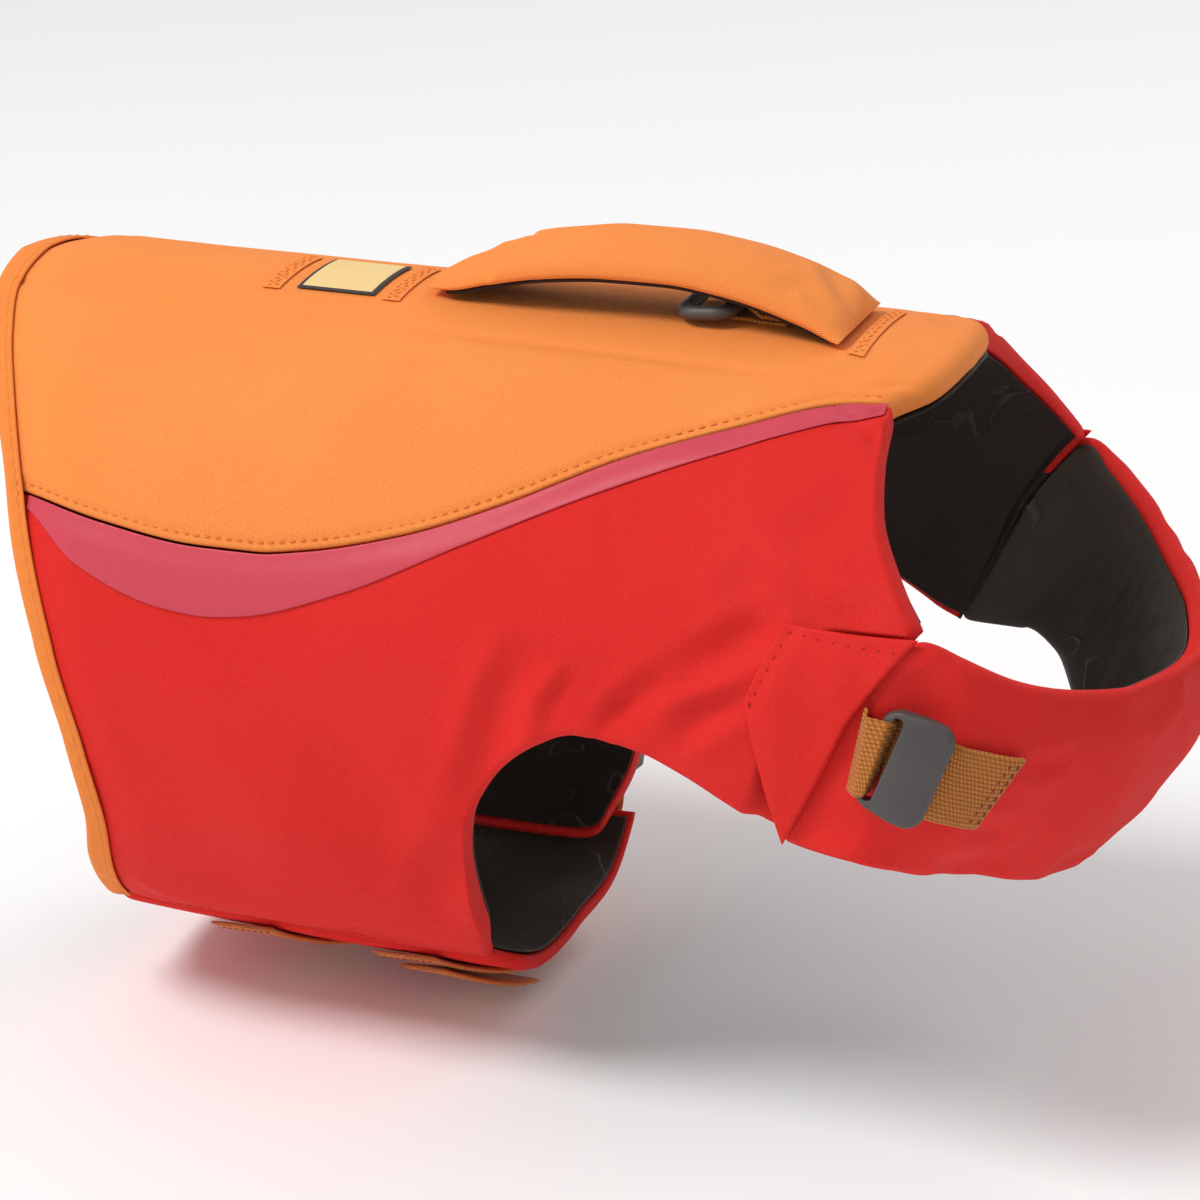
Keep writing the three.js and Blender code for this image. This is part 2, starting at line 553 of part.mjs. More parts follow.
function addChestStrap(name, side) {
  const lift = 0.5;
  const half = WEBBING_WIDTH / 2;
  const sewnEnd = 3;
  const strap = spaced(0.3, 1, 9).map((t) => strapFrame(t, side));
  addMesh(`chest_webbing_${name}`, 'webbing',
    band(strap, half, lift, WEBBING_THICK, (i) => (i === strap.length - 1 ? sewnEnd : 0)));
  const frame = strapFrame(SLIDER.at, side);
  const rear = -SLIDER.length / 2;
  const slot = [rear + SLIDER.rim, rear + SLIDER.rim + SLIDER.slotLength, SLIDER.slotWidth / 2];
  const sliderLift = lift + WEBBING_THICK + SEAM_GAP + 0.2;
  addMesh(`slider_${name}`, 'moulded',
    plate(frame, SLIDER.length, SLIDER.width, SLIDER.thick, sliderLift, 4, [slot]));
  const loopStart = strapFrame(LOOP_START, side);
  const reach = SLIDER.length / 2 + SEAM_GAP;
  const loopEnd = { ...frame, point: frame.point.clone().addScaledVector(frame.along, -reach) };
  const middle = {
    point: loopStart.point.clone().lerp(loopEnd.point, 0.5),
    along: loopEnd.along,
    across: loopStart.across.clone().lerp(loopEnd.across, 0.5).normalize(),
    normal: loopStart.normal.clone().lerp(loopEnd.normal, 0.5).normalize(),
  };
  const lifts = [0.8, (0.8 + sliderLift) / 2 + 0.6, sliderLift + 0.8];
  addMesh(`slider_loop_${name}`, 'webbing',
    band([loopStart, middle, loopEnd], half, (i) => lifts[i], WEBBING_THICK * 1.4,
      (i) => [LOOP_SKEW, 0, 0][i]));
}

// Place under the belly: beta turns from the belly's middle, positive to the dog's left.
function bellyBase(beta) {
  return BELLY_OVERLAP_OUT * smoothStep(6, 29, beta);
}

const onBelly = (s, beta, out) => onBody(s, 180 - beta, bellyBase(beta) + out);

function addBelly() {
  const across = spaced(BELLY_NEAR, BELLY_FAR, 15);
  const front = (beta) => 174 - 7.5 * (1 - smoothStep(BELLY_NEAR, BELLY_NEAR + 8, beta));
  const place = (u, beta) => mix(36, front(beta), u);
  addMesh('belly_panel', 'sideCloth', wall(spaced(0, 1, 7), across, (u, beta, outer) =>
    onBelly(place(u, beta), beta, outer ? PANEL_IN + BELLY_THICK : PANEL_IN)));
  addMesh('lining_belly', 'liningCloth', wall(spaced(0, 1, 4), across, (u, beta, outer) =>
    onBelly(place(u, beta), beta, outer ? LINING_OUT : 0)));
}

// Frame on the outside of the belly or of the left side panel, for straps and buckles.
function underFrame(strap, beta, out) {
  const run = mix(strap.nearS, strap.midS, smoothStep(BELLY_NEAR, STRAP_STRAIGHT_FROM, beta));
  const at = (b, o) => {
    const past = smoothStep(BELLY_FAR + 1.4, BELLY_FAR + 8, b);
    const over = mix(PANEL_IN + BELLY_THICK, panelOut(run, 180 - b) - BELLY_OVERLAP_OUT, past);
    return onBody(run, 180 - b, bellyBase(b) + over + o);
  };
  const slope = mix(strap.nearS, strap.midS, smoothStep(BELLY_NEAR, STRAP_STRAIGHT_FROM, beta + 1)) - run;
  const point = at(beta, out);
  const along = at(beta + 1, out).sub(at(beta - 1, out));
  along.x += 2 * slope;
  along.normalize();
  const normal = at(beta, out + 1).sub(point).normalize();
  const across = new THREE.Vector3().crossVectors(along, normal).normalize();
  return { point, along, across, normal: new THREE.Vector3().crossVectors(across, along).normalize() };
}

function addBellyStrap(strap) {
  const half = WEBBING_WIDTH / 2;
  const lift = 0.5;
  const rows = spaced(BELLY_NEAR + 1.2, STRAP_END, 20);
  addMesh(`belly_strap_${strap.name}`, 'webbing',
    band(rows.map((beta) => underFrame(strap, beta, 0)), half, lift, WEBBING_THICK));
  const anchor = spaced(ANCHOR.from, ANCHOR.to, 4);
  addMesh(`belly_anchor_${strap.name}`, 'webbing',
    band(anchor.map((beta) => underFrame(strap, beta, 0)), half, lift, WEBBING_THICK));
  const frame = underFrame(strap, BUCKLE.at, 0);
  const [w, n] = [BUCKLE.width / 2, BUCKLE.neck / 2];
  const socketEnd = BUCKLE.socket - (BUCKLE.socket + BUCKLE.tongue) / 2;
  const start = socketEnd - BUCKLE.socket;
  const finish = socketEnd + BUCKLE.tongue;
  const socket = [
    [start, -w + 2], [start + 2, -w], [start + 12, -w], [start + 15, -w + BUCKLE.notch],
    [socketEnd - 3, -w + BUCKLE.notch], [socketEnd, -w], [socketEnd, w], [socketEnd - 3, w - BUCKLE.notch],
    [start + 15, w - BUCKLE.notch], [start + 12, w], [start + 2, w], [start, w - 2],
  ];
  const tongueStart = socketEnd + SEAM_GAP;
  const tongue = [
    [tongueStart, -w + 1], [tongueStart + 4, -w], [finish - 2, -n - 2], [finish, -n], [finish, n],
    [finish - 2, n + 2], [tongueStart + 4, w], [tongueStart, w - 1],
  ];
  const slot = half + 0.5;
  addMesh(`buckle_socket_${strap.name}`, 'moulded',
    plate(frame, 0, 0, BUCKLE.thick, lift, 0, [[start + 3, start + 6.5, slot]], socket));
  addMesh(`buckle_tongue_${strap.name}`, 'moulded',
    plate(frame, 0, 0, BUCKLE.thick - 1.5, lift + 0.6, 0, [[finish - 6.5, finish - 3, n - 1]], tongue));
  if (!strap.tail) return;
  const loose = spaced(TAIL.from, TAIL.to, 5);
  addMesh('belly_strap_tail', 'webbing', band(loose.map((beta) => underFrame(strap, beta, 0)), half,
    (i) => lift + WEBBING_THICK + 0.8 + TAIL.drop * (i / 5) ** 2, WEBBING_THICK));
}

const backTop = (x) => body.top(x + ORIGIN_S) + PANEL_OUT;

// Strip across the spine, on the back panel's outer face.
function addStrip(name, finish, rear, front, half, thick, steps) {
  const place = (x, y, outer) => {
    const phi = y / SPINE_MM_PER_DEGREE;
    const s = x + ORIGIN_S;
    const base = panelOut(s, phi) + SEAM_GAP + 0.1;
    return onBody(s, phi, outer ? base + thick : base);
  };
  addMesh(name, finish, wall(spaced(rear, front, steps), spaced(-half, half, 10), place));
}

function addHandle() {
  const xs = HANDLE.map((row) => row.x);
  const rows = spaced(0, HANDLE.length - 1, 20).map((i) => {
    const index = HANDLE.map((_, k) => k);
    const value = (key) => monotone(index, HANDLE.map((row) => row[key]))(i);
    return { x: monotone(index, xs)(i), z: value('z'), half: value('half'), thick: value('thick') };
  });
  const tilt = (i) => {
    const a = rows[Math.max(0, i - 1)];
    const b = rows[Math.min(rows.length - 1, i + 1)];
    return Math.min(0.9, Math.max(-0.9, Math.atan2(b.z - a.z, b.x - a.x)));
  };
  const ring = (row, i, section) => section.map(([w, t]) => {
    const lean = tilt(i);
    return new THREE.Vector3(row.x - t * Math.sin(lean), w, row.z + t * Math.cos(lean));
  });
  // Flat underside and a crowned top.
  const padded = (row) => {
    const top = spaced(0, Math.PI, 10).map((a) => [row.half * Math.cos(a), row.thick * 1.8 * Math.sin(a) ** 0.7 - row.thick]);
    return [...top, [-row.half * 0.9, -row.thick * 0.95], [row.half * 0.9, -row.thick * 0.95]];
  };
  addMesh('handle', 'backCloth', loft(rows.map((row, i) => ring(row, i, padded(row))), false));
  const under = rows.slice(1, -2).map((row, i) => {
    const top = -row.thick * 0.95 - SEAM_GAP;
    const w = row.half * 0.9 - HANDLE_LINING.inset / 2;
    return ring(row, i + 1, [[-w, top], [w, top], [w, top - HANDLE_LINING.thick], [-w, top - HANDLE_LINING.thick]]);
  });
  addMesh('handle_lining', 'liningCloth', loft(under, false));
  for (const tack of HANDLE_TACKS) {
    const { name, x, length, half } = tack;
    addStrip(name, 'bindingTape', x - length / 2, x + length / 2, half, TACK_THICK, 2);
  }
  addStrip('label', 'patch', LABEL.rear, LABEL.front, LABEL.half, LABEL.thick, 4);
}

// Ring of round bar with round corners, lying on the back and hinged in its webbing loop.
function addRing() {
  const { hingeX, hingeZ, reach, halfWidth, bar, corner, lean } = RING;
  const outline = roundedRectangle(new THREE.Shape(), 0, -halfWidth, reach, halfWidth, corner).getPoints(4);
  const fall = THREE.MathUtils.degToRad(lean);
  const apart = outline.filter((p, i) => p.distanceTo(outline[(i + 1) % outline.length]) > 0.01);
  const points = apart.map(({ x, y }) =>
    new THREE.Vector3(hingeX - x * Math.cos(fall), y, hingeZ - x * Math.sin(fall)));
  const up = new THREE.Vector3(-Math.sin(fall), 0, Math.cos(fall));
  const rings = points.map((point, i) => {
    const before = points[(i + points.length - 1) % points.length];
    const after = points[(i + 1) % points.length];
    const out = new THREE.Vector3().crossVectors(after.clone().sub(before), up).normalize();
    return spaced(0, 2 * Math.PI, 10).slice(0, 10).map((a) =>
      point.clone().addScaledVector(out, bar * Math.cos(a)).addScaledVector(up, bar * Math.sin(a)));
  });
  addMesh('leash_ring', 'moulded', loft(rings, true));
  const inner = bar + RING_LOOP.play;
  const wallOut = inner + RING_LOOP.thick;
  const floor = backTop(RING_LOOP.front) + 0.4;
  const shape = new THREE.Shape();
  const low = floor + RING_LOOP.thick * 2;
  const turn = 1.15;
  shape.absarc(hingeX, hingeZ, wallOut, turn, 2 * Math.PI - turn, false);
  shape.lineTo(hingeX + 9, floor);
  shape.lineTo(RING_LOOP.front, floor);
  shape.lineTo(RING_LOOP.front, low);
  shape.lineTo(hingeX + 9, low);
  shape.closePath();
  const hole = new THREE.Path();
  hole.absarc(hingeX, hingeZ, inner, 0, 2 * Math.PI, true);
  shape.holes.push(hole);
  const geometry = new THREE.ExtrudeGeometry(shape, { depth: RING_LOOP.width, bevelEnabled: false, curveSegments: 10 });
  geometry.rotateX(Math.PI / 2);
  geometry.translate(0, RING_LOOP.width / 2, 0);
  addMesh('ring_loop', 'webbing', geometry);
}

addBack();
for (const [name, side] of [['right', -1], ['left', 1]]) {
  addSide(name, side);
  addTab(name, side);
  addChestStrap(name, side);
}
addBinding();
addChest();
addBelly();
BELLY_STRAPS.forEach(addBellyStrap);
addHandle();
addRing();

export default jacket;
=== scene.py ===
import math
import bpy
import numpy as np
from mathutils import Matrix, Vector


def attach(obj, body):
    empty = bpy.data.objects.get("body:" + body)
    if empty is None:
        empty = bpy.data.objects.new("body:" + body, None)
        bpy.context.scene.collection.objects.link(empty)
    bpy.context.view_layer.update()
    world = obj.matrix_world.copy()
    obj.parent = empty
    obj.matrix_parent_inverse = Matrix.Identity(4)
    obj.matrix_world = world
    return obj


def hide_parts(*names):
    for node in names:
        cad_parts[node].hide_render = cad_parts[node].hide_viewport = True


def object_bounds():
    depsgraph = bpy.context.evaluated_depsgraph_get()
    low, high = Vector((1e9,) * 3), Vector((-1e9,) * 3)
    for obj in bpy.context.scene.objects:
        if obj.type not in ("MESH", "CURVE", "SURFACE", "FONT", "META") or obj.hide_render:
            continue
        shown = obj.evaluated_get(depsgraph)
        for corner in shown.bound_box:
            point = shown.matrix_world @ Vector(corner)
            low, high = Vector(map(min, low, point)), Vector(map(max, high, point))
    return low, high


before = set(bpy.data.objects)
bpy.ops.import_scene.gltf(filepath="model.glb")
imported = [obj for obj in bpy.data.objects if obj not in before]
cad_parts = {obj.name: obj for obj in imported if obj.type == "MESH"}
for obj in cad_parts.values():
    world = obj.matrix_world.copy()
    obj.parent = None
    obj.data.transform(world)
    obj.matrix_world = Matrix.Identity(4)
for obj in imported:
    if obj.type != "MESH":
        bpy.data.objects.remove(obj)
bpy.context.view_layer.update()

# Sizes are in millimetres and angles in degrees until meshObject turns them into metres.
# A place on the body is (s, phi): s runs forward from the tail hem, phi turns down one side from the spine.
bodyTable = {
    "s": [-20, 0, 60, 150, 220, 260, 300, 340],
    "top": [.5, 0, -.5, 0, 1, 1, 0, -5],
    "half": [77, 80, 84, 87, 90, 92, 92, 90],
    "middle": [-89, -90, -90, -87, -83, -79, -76, -74],
    "bottom": [-193, -197, -202, -204, -202, -198, -192, -183],
    "originS": 150,
    "roundness": 2.15,
    "mmPerDegree": 1.55,
    "spineMmPerDegree": 1.8,
    "roughMmPerDegree": 1.6,
}
# Creases over the body are listed as (s, phi), and their widths and depths in mm.
creaseScale = (1, bodyTable["mmPerDegree"])


def softStep(low, high, x):
    t = np.clip((x - low) / (high - low), 0, 1)
    return t * t * (3 - 2 * t)


def between(a, b, t):
    return a + (b - a) * t


# Monotone cubic through the knots, straight beyond both ends; ys may hold a column of its own for each x.
def monotoneAt(xs, ys, x):
    xs, ys, x = np.asarray(xs, float), np.asarray(ys, float), np.asarray(x, float)
    lift = (1,) * x.ndim
    if ys.ndim == 1:
        ys = ys.reshape(-1, *lift)
    step = np.diff(xs).reshape(-1, *lift)
    rate = np.diff(ys, axis=0) / step
    before, after = 2 * step[1:] + step[:-1], step[1:] + 2 * step[:-1]
    with np.errstate(divide="ignore", invalid="ignore"):
        inner = (before + after) / (before / rate[:-1] + after / rate[1:])
    inner = np.where(rate[:-1] * rate[1:] > 0, inner, 0)
    slope = np.concatenate([rate[:1], inner, rate[-1:]])
    k = np.clip(np.searchsorted(xs, x, side="right") - 1, 0, len(xs) - 2)

    def pick(table, at):
        return np.take_along_axis(np.broadcast_to(table, (len(table), *x.shape)), at[None], 0)[0]

    h, y0, y1 = pick(step, k), pick(ys, k), pick(ys, k + 1)
    m0, m1 = pick(slope, k), pick(slope, k + 1)
    t = (x - xs[k]) / h
    curve = between(y0, y1, t * t * (3 - 2 * t)) + t * (1 - t) * ((1 - t) * m0 - t * m1) * h
    return np.where(t < 0, y0 + m0 * (x - xs[k]), np.where(t > 1, y1 + m1 * (x - xs[k + 1]), curve))


# Point of the body at (s, phi), moved out along the normal of its superellipse section.
def onBody(s, phi, out):
    s, phi, out = np.broadcast_arrays(np.asarray(s, float), np.asarray(phi, float), np.asarray(out, float))
    c, q = np.cos(np.radians(phi)), np.sin(np.radians(phi))
    top, half, middle, bottom = (monotoneAt(bodyTable["s"], bodyTable[k], s) for k in ("top", "half",
            "middle", "bottom"))
    rise = np.where(c >= 0, top - middle, middle - bottom)
    power = 2 / bodyTable["roundness"]
    ny = np.sign(q) * np.abs(q) ** (2 - power) / half
    nz = np.sign(c) * np.abs(c) ** (2 - power) / rise
    n = np.hypot(ny, nz)
    y = half * np.sign(q) * np.abs(q) ** power + out * ny / n
    z = middle + rise * np.sign(c) * np.abs(c) ** power + out * nz / n
    return np.stack([s - bodyTable["originS"], y, z], -1)


# Mesh from points and groups of faces with corner UVs in mm; turned inside out if its volume is negative.
def meshObject(name, points, groups):
    volume = 0.0
    for faces, _ in groups:
        p = points[faces]
        for k in range(1, faces.shape[1] - 1):
            volume += np.einsum("ij,ij->", p[:, 0], np.cross(p[:, k], p[:, k + 1]))
    if volume < 0:
        groups = [(faces[:, ::-1], uv[:, ::-1]) for faces, uv in groups]
    sides = np.concatenate([np.full(len(faces), faces.shape[1]) for faces, _ in groups])
    corners = np.concatenate([faces.ravel() for faces, _ in groups])
    mesh = bpy.data.meshes.new(name)
    mesh.vertices.add(len(points))
    mesh.vertices.foreach_set("co", (points / 1000).astype(np.float32).ravel())
    mesh.loops.add(len(corners))
    mesh.loops.foreach_set("vertex_index", corners.astype(np.int32))
    mesh.polygons.add(len(sides))
    mesh.polygons.foreach_set("loop_start", (np.cumsum(sides) - sides).astype(np.int32))
    mesh.polygons.foreach_set("use_smooth", np.ones(len(sides), bool))
    layer = mesh.uv_layers.new(name="cutUv")
    flat = np.concatenate([uv.reshape(-1, 2) for _, uv in groups]) / 1000
    layer.uv.foreach_set("vector", flat.astype(np.float32).ravel())
    mesh.update(calc_edges=True)
    mesh.validate()
    piece = bpy.data.objects.new(name, mesh)
    bpy.context.scene.collection.objects.link(piece)
    return piece


def quads(index):
    return np.stack([index[:-1, :-1], index[1:, :-1], index[1:, 1:], index[:-1, 1:]], -1).reshape(-1, 4)


def quadUv(uv):
    return np.stack([uv[:-1, :-1], uv[1:, :-1], uv[1:, 1:], uv[:-1, 1:]], 2).reshape(-1, 4, 2)


# Closed cloth wall: an outer and an inner grid that share their border points.
def shellMesh(name, outer, inner, uv):
    rows, cols = outer.shape[:2]
    outerIndex = np.arange(rows * cols).reshape(rows, cols)
    innerIndex = outerIndex.copy()
    innerIndex[1:-1, 1:-1] = rows * cols + np.arange((rows - 2) * (cols - 2)).reshape(rows - 2, cols - 2)
    points = np.concatenate([outer.reshape(-1, 3), inner[1:-1, 1:-1].reshape(-1, 3)])
    groups = [(quads(outerIndex), quadUv(uv)), (quads(innerIndex)[:, ::-1], quadUv(uv)[:, ::-1])]
    return meshObject(name, points, groups)


# Rings of points joined along a path; both ends are closed by a fan, or the last ring joins the first.
def ringsMesh(name, rings, uv, looped=False):
    count, size = rings.shape[:2]
    index = np.arange(count * size).reshape(count, size)
    index = np.concatenate([index, index[:, :1]], 1)
    points = rings.reshape(-1, 3)
    if looped:
        return meshObject(name, points, [(quads(np.concatenate([index, index[:1]])), quadUv(uv))])
    tips = np.array([[count * size], [count * size + 1]])
    points = np.concatenate([points, rings[[0, -1]].mean(1)])
    first = np.stack([index[0, :-1], index[0, 1:], np.repeat(tips[0], size)], -1)
    last = np.stack([index[-1, 1:], index[-1, :-1], np.repeat(tips[1], size)], -1)
    firstUv = np.stack([uv[0, :-1], uv[0, 1:], uv[0, 1:]], 1)
    lastUv = np.stack([uv[-1, 1:], uv[-1, :-1], uv[-1, :-1]], 1)
    return meshObject(name, points, [(quads(index), quadUv(uv)), (first, firstUv), (last, lastUv)])


# Length travelled along an axis of a grid of points, from its first row.
def travelled(grid, axis):
    step = np.linalg.norm(np.diff(grid, axis=axis), axis=-1)
    start = np.zeros_like(np.take(step, [0], axis))
    return np.concatenate([start, np.cumsum(step, axis)], axis)


# Place on a flat cut, in mm: along the body and down its side.
def cutPlace(s, phi):
    return np.stack([s, phi * bodyTable["mmPerDegree"]], -1)


# Quarter-round edge profile: 0 at the edge, 1 from rim inwards.
def roundRim(distance, rim):
    return np.sqrt(1 - (1 - np.clip(distance / rim, 0, 1)) ** 2)


# Grid of the body's cloth between in and out, with a rounded rim of its own width on each of its four edges.
def clothWall(place, us, vs, inside, outside, rims, level=.3, innerRim=1.2):
    u, v = np.meshgrid(us, vs, indexing="ij")
    s, phi = place(u, v)
    low, high = inside(s, phi, u, v), outside(s, phi, u, v)
    middle = between(low, high, level)
    flat = onBody(s, phi, middle)
    alongU, alongV = travelled(flat, 0), travelled(flat, 1)
    gaps = [alongU, alongU[-1:] - alongU, alongV, alongV[:, -1:] - alongV]
    outerShare, innerShare = 1.0, 1.0
    for gap, rim in zip(gaps, rims):
        outerShare = outerShare * roundRim(gap, rim)
        innerShare = innerShare * roundRim(gap, innerRim)
    outer = onBody(s, phi, between(middle, high, outerShare))
    inner = onBody(s, phi, between(middle, low, innerShare))
    return outer, inner, cutPlace(s, phi)


# Values from 0 to 1 that crowd towards both ends, where the rims are.
def crowded(count, edge=.02, edgeCount=5):
    rim = edge * np.linspace(0, 1, edgeCount + 1)[:-1] ** 1.6
    return np.concatenate([rim, np.linspace(edge, 1 - edge, count), 1 - rim[::-1]])


# Sum of listed creases at (x, y): each is a soft trough between low ridges that fades at its ends.
def creaseField(x, y, creases, scale=(1, 1)):
    total = np.zeros(x.shape)
    points = np.stack([x * scale[0], y * scale[1]], -1)[..., None, :]
    for path, width, depth in creases:
        path = np.array(path, float) * scale
        knots = travelled(path, 0)
        at = np.linspace(0, knots[-1], 14)
        path = np.stack([monotoneAt(knots, path[:, 0], at), monotoneAt(knots, path[:, 1], at)], -1)
        start, run = path[:-1], np.diff(path, axis=0)
        t = np.clip(((points - start) * run).sum(-1) / (run * run).sum(-1), 0, 1)
        gap = np.linalg.norm(points - (start + t[..., None] * run), axis=-1)
        nearest = gap.argmin(-1)[..., None]
        gap = np.take_along_axis(gap, nearest, -1)[..., 0]
        share = (nearest[..., 0] + np.take_along_axis(t, nearest, -1)[..., 0]) / len(start)
        fade = np.sin(np.pi * np.clip(share, .001, .999)) ** .7
        away = gap / width
        total += depth * fade * (np.exp(-away ** 2) - .4 * np.exp(-2 * (away - 1.7) ** 2))
    return total


# Slow lumps of the foam: three sine waves of different length and direction.
def foamLumps(x, y, height):
    waves = np.sin(x / 13 + y / 21 + 1) + .7 * np.sin(x / 8.3 - y / 11 + 2.2) + .5 * np.sin(y / 6.1 + x / 29)
    return height * waves / 2.2


# Finishes: the node groups come first, then the materials that use them.
def newGroup(name, inputs, outputs):
    group = bpy.data.node_groups.new(name, "ShaderNodeTree")
    for label, kind, value in inputs:
        socket = group.interface.new_socket(name=label, in_out="INPUT", socket_type=kind)
        if value is not None:
            socket.default_value = value
    for label, kind in outputs:
        group.interface.new_socket(name=label, in_out="OUTPUT", socket_type=kind)
    return group, group.nodes.new("NodeGroupInput"), group.nodes.new("NodeGroupOutput")


def addNode(tree, kind, settings=None, **inputs):
    node = tree.nodes.new(kind)
    for key, value in (settings or {}).items():
        setattr(node, key, value)
    for key, value in inputs.items():
        socket = node.inputs[int(key[1:]) if key[1:].isdigit() else key.replace("_", " ")]
        if isinstance(value, bpy.types.NodeSocket):
            tree.links.new(value, socket)
        else:
            socket.default_value = value
    return node


def mathNode(tree, operation, a, b=0.0, c=0.0):
    return addNode(tree, "ShaderNodeMath", {"operation": operation}, i0=a, i1=b, i2=c).outputs[0]


def mixColour(tree, share, a, b, blend="MIX"):
    node = tree.nodes.new("ShaderNodeMix")
    node.data_type, node.blend_type = "RGBA", blend
    for socket, value in ((node.inputs[0], share), (node.inputs[6], a), (node.inputs[7], b)):
        if isinstance(value, bpy.types.NodeSocket):
            tree.links.new(value, socket)
        else:
            socket.default_value = value
    return node.outputs[2]


# Twill: diagonal ribs across a cut cloth, broken by the crossing threads; Height for bump, Tint for colour.
def twillGroup():
    group, given, put = newGroup("twillWeave", [
        ("Cut", "NodeSocketVector", None), ("Ribs per metre", "NodeSocketFloat", 1100.0),
        ("Slant", "NodeSocketFloat", 1.0),
    ], [("Height", "NodeSocketFloat"), ("Tint", "NodeSocketFloat")])
    cut = addNode(group, "ShaderNodeSeparateXYZ", i0=given.outputs[0])
    slanted = mathNode(group, "MULTIPLY_ADD", cut.outputs[0], given.outputs[2], cut.outputs[1])
    turns = mathNode(group, "MULTIPLY", mathNode(group, "MULTIPLY", slanted, given.outputs[1]), 2 * math.pi)
    threads = addNode(group, "ShaderNodeTexNoise", {"noise_dimensions": "3D"}, Vector=given.outputs[0],
                      Scale=900.0, Detail=2.0)
    ribs = mathNode(group, "MULTIPLY_ADD", mathNode(group, "SINE", turns), 0.5, 0.5)
    uneven = mathNode(group, "MULTIPLY_ADD", threads.outputs[0], 0.9, -0.2)
    height = mathNode(group, "MULTIPLY_ADD", ribs, 0.6, uneven)
    group.links.new(height, put.inputs[0])
    group.links.new(mathNode(group, "MULTIPLY_ADD", threads.outputs[0], 0.6,
                             mathNode(group, "MULTIPLY", ribs, 0.4)), put.inputs[1])
    return group


# Use: broad faded patches and fine dust over a cloth or plastic, as masks from 0 to 1.
def wearGroup():
    group, given, put = newGroup("handledWear", [
        ("Place", "NodeSocketVector", None), ("Patch size", "NodeSocketFloat", 14.0),
        ("Dust size", "NodeSocketFloat", 320.0),
    ], [("Faded", "NodeSocketFloat"), ("Dust", "NodeSocketFloat")])
    patches = addNode(group, "ShaderNodeTexNoise", Vector=given.outputs[0], Scale=given.outputs[1],
                      Detail=3.0, Roughness=.5)
    dust = addNode(group, "ShaderNodeTexNoise", Vector=given.outputs[0], Scale=given.outputs[2], Detail=3.0,
                   Roughness=.7)
    faded = addNode(group, "ShaderNodeMapRange", {"interpolation_type": "SMOOTHSTEP"},
                    Value=patches.outputs[0], i1=.35, i2=.7)
    speck = addNode(group, "ShaderNodeMapRange", Value=dust.outputs[0], i1=.55, i2=.8)
    group.links.new(faded.outputs[0], put.inputs[0])
    group.links.new(speck.outputs[0], put.inputs[1])
    return group


# Thin creases of a light lining: lines where a warped noise crosses its middle value, kept in patches; Line paints a
# highlight along them and Height bumps them.
def creaseGroup():
    group, given, put = newGroup("liningCreasesAndHighlights", [
        ("Place", "NodeSocketVector", None), ("Size", "NodeSocketFloat", 26.0),
        ("Line width", "NodeSocketFloat", .012),
    ], [("Line", "NodeSocketFloat"), ("Height", "NodeSocketFloat")])
    field = addNode(group, "ShaderNodeTexNoise", Vector=given.outputs[0], Scale=given.outputs[1],
                    Detail=1.5, Distortion=1.3)
    off = mathNode(group, "ABSOLUTE", mathNode(group, "SUBTRACT", field.outputs[0], .5))
    line = addNode(group, "ShaderNodeMapRange", {"interpolation_type": "SMOOTHSTEP"}, Value=off, i1=0.0,
                   i2=given.outputs[2], i3=1.0, i4=0.0)
    keep = addNode(group, "ShaderNodeTexNoise", Vector=given.outputs[0], Scale=38.0, Detail=1.0)
    kept = addNode(group, "ShaderNodeMapRange", {"interpolation_type": "SMOOTHSTEP"}, Value=keep.outputs[0],
                   i1=.47, i2=.62)
    drawn = mathNode(group, "MULTIPLY", line.outputs[0], kept.outputs[0])
    group.links.new(drawn, put.inputs[0])
    group.links.new(mathNode(group, "MULTIPLY_ADD", drawn, .6, field.outputs[0]), put.inputs[1])
    return group


# Webbing: thick ribs along the strap crossed by the closer weft; across and along are the cut's own axes.
def webbingGroup():
    group, given, put = newGroup("webbingWeave", [
        ("Cut", "NodeSocketVector", None), ("Ribs per metre", "NodeSocketFloat", 760.0),
        ("Picks per metre", "NodeSocketFloat", 780.0),
    ], [("Height", "NodeSocketFloat"), ("Groove shade", "NodeSocketFloat")])
    cut = addNode(group, "ShaderNodeSeparateXYZ", i0=given.outputs[0])
    ribTurns = mathNode(group, "MULTIPLY", mathNode(group, "MULTIPLY", cut.outputs[1], given.outputs[1]),
                        2 * math.pi)
    pickTurns = mathNode(group, "MULTIPLY", mathNode(group, "MULTIPLY", cut.outputs[0], given.outputs[2]),
                         2 * math.pi)
    rib = mathNode(group, "MULTIPLY_ADD", mathNode(group, "COSINE", ribTurns), .5, .5)
    shifted = mathNode(group, "ADD", pickTurns, mathNode(group, "MULTIPLY", ribTurns, .5))
    pick = mathNode(group, "MULTIPLY_ADD", mathNode(group, "COSINE", shifted), .5, .5)
    either = mathNode(group, "MULTIPLY_ADD", rib, .3, mathNode(group, "MULTIPLY", pick, .25))
    height = mathNode(group, "MULTIPLY_ADD", mathNode(group, "MULTIPLY", rib, pick), .45, either)
    group.links.new(height, put.inputs[0])
    # The Groove output darkens the colour where the weave lies low: painted shade in the weave's grooves.
    group.links.new(mathNode(group, "SUBTRACT", 1.0, height), put.inputs[1])
    return group


groups = {"twill": twillGroup(), "wear": wearGroup(), "creaseAndHighlight": creaseGroup(), "webbing": webbingGroup()}


def newMaterial(name, **shader):
    material = bpy.data.materials.new(name)
    material.use_nodes = True
    tree = material.node_tree
    bsdf = tree.nodes["Principled BSDF"]
    for key, value in shader.items():
        bsdf.inputs[key.replace("_", " ")].default_value = value
    where = tree.nodes.new("ShaderNodeTexCoord")
    return material, tree, bsdf, where


def useGroup(tree, key, **inputs):
    return addNode(tree, "ShaderNodeGroup", {"node_tree": groups[key]}, **inputs)


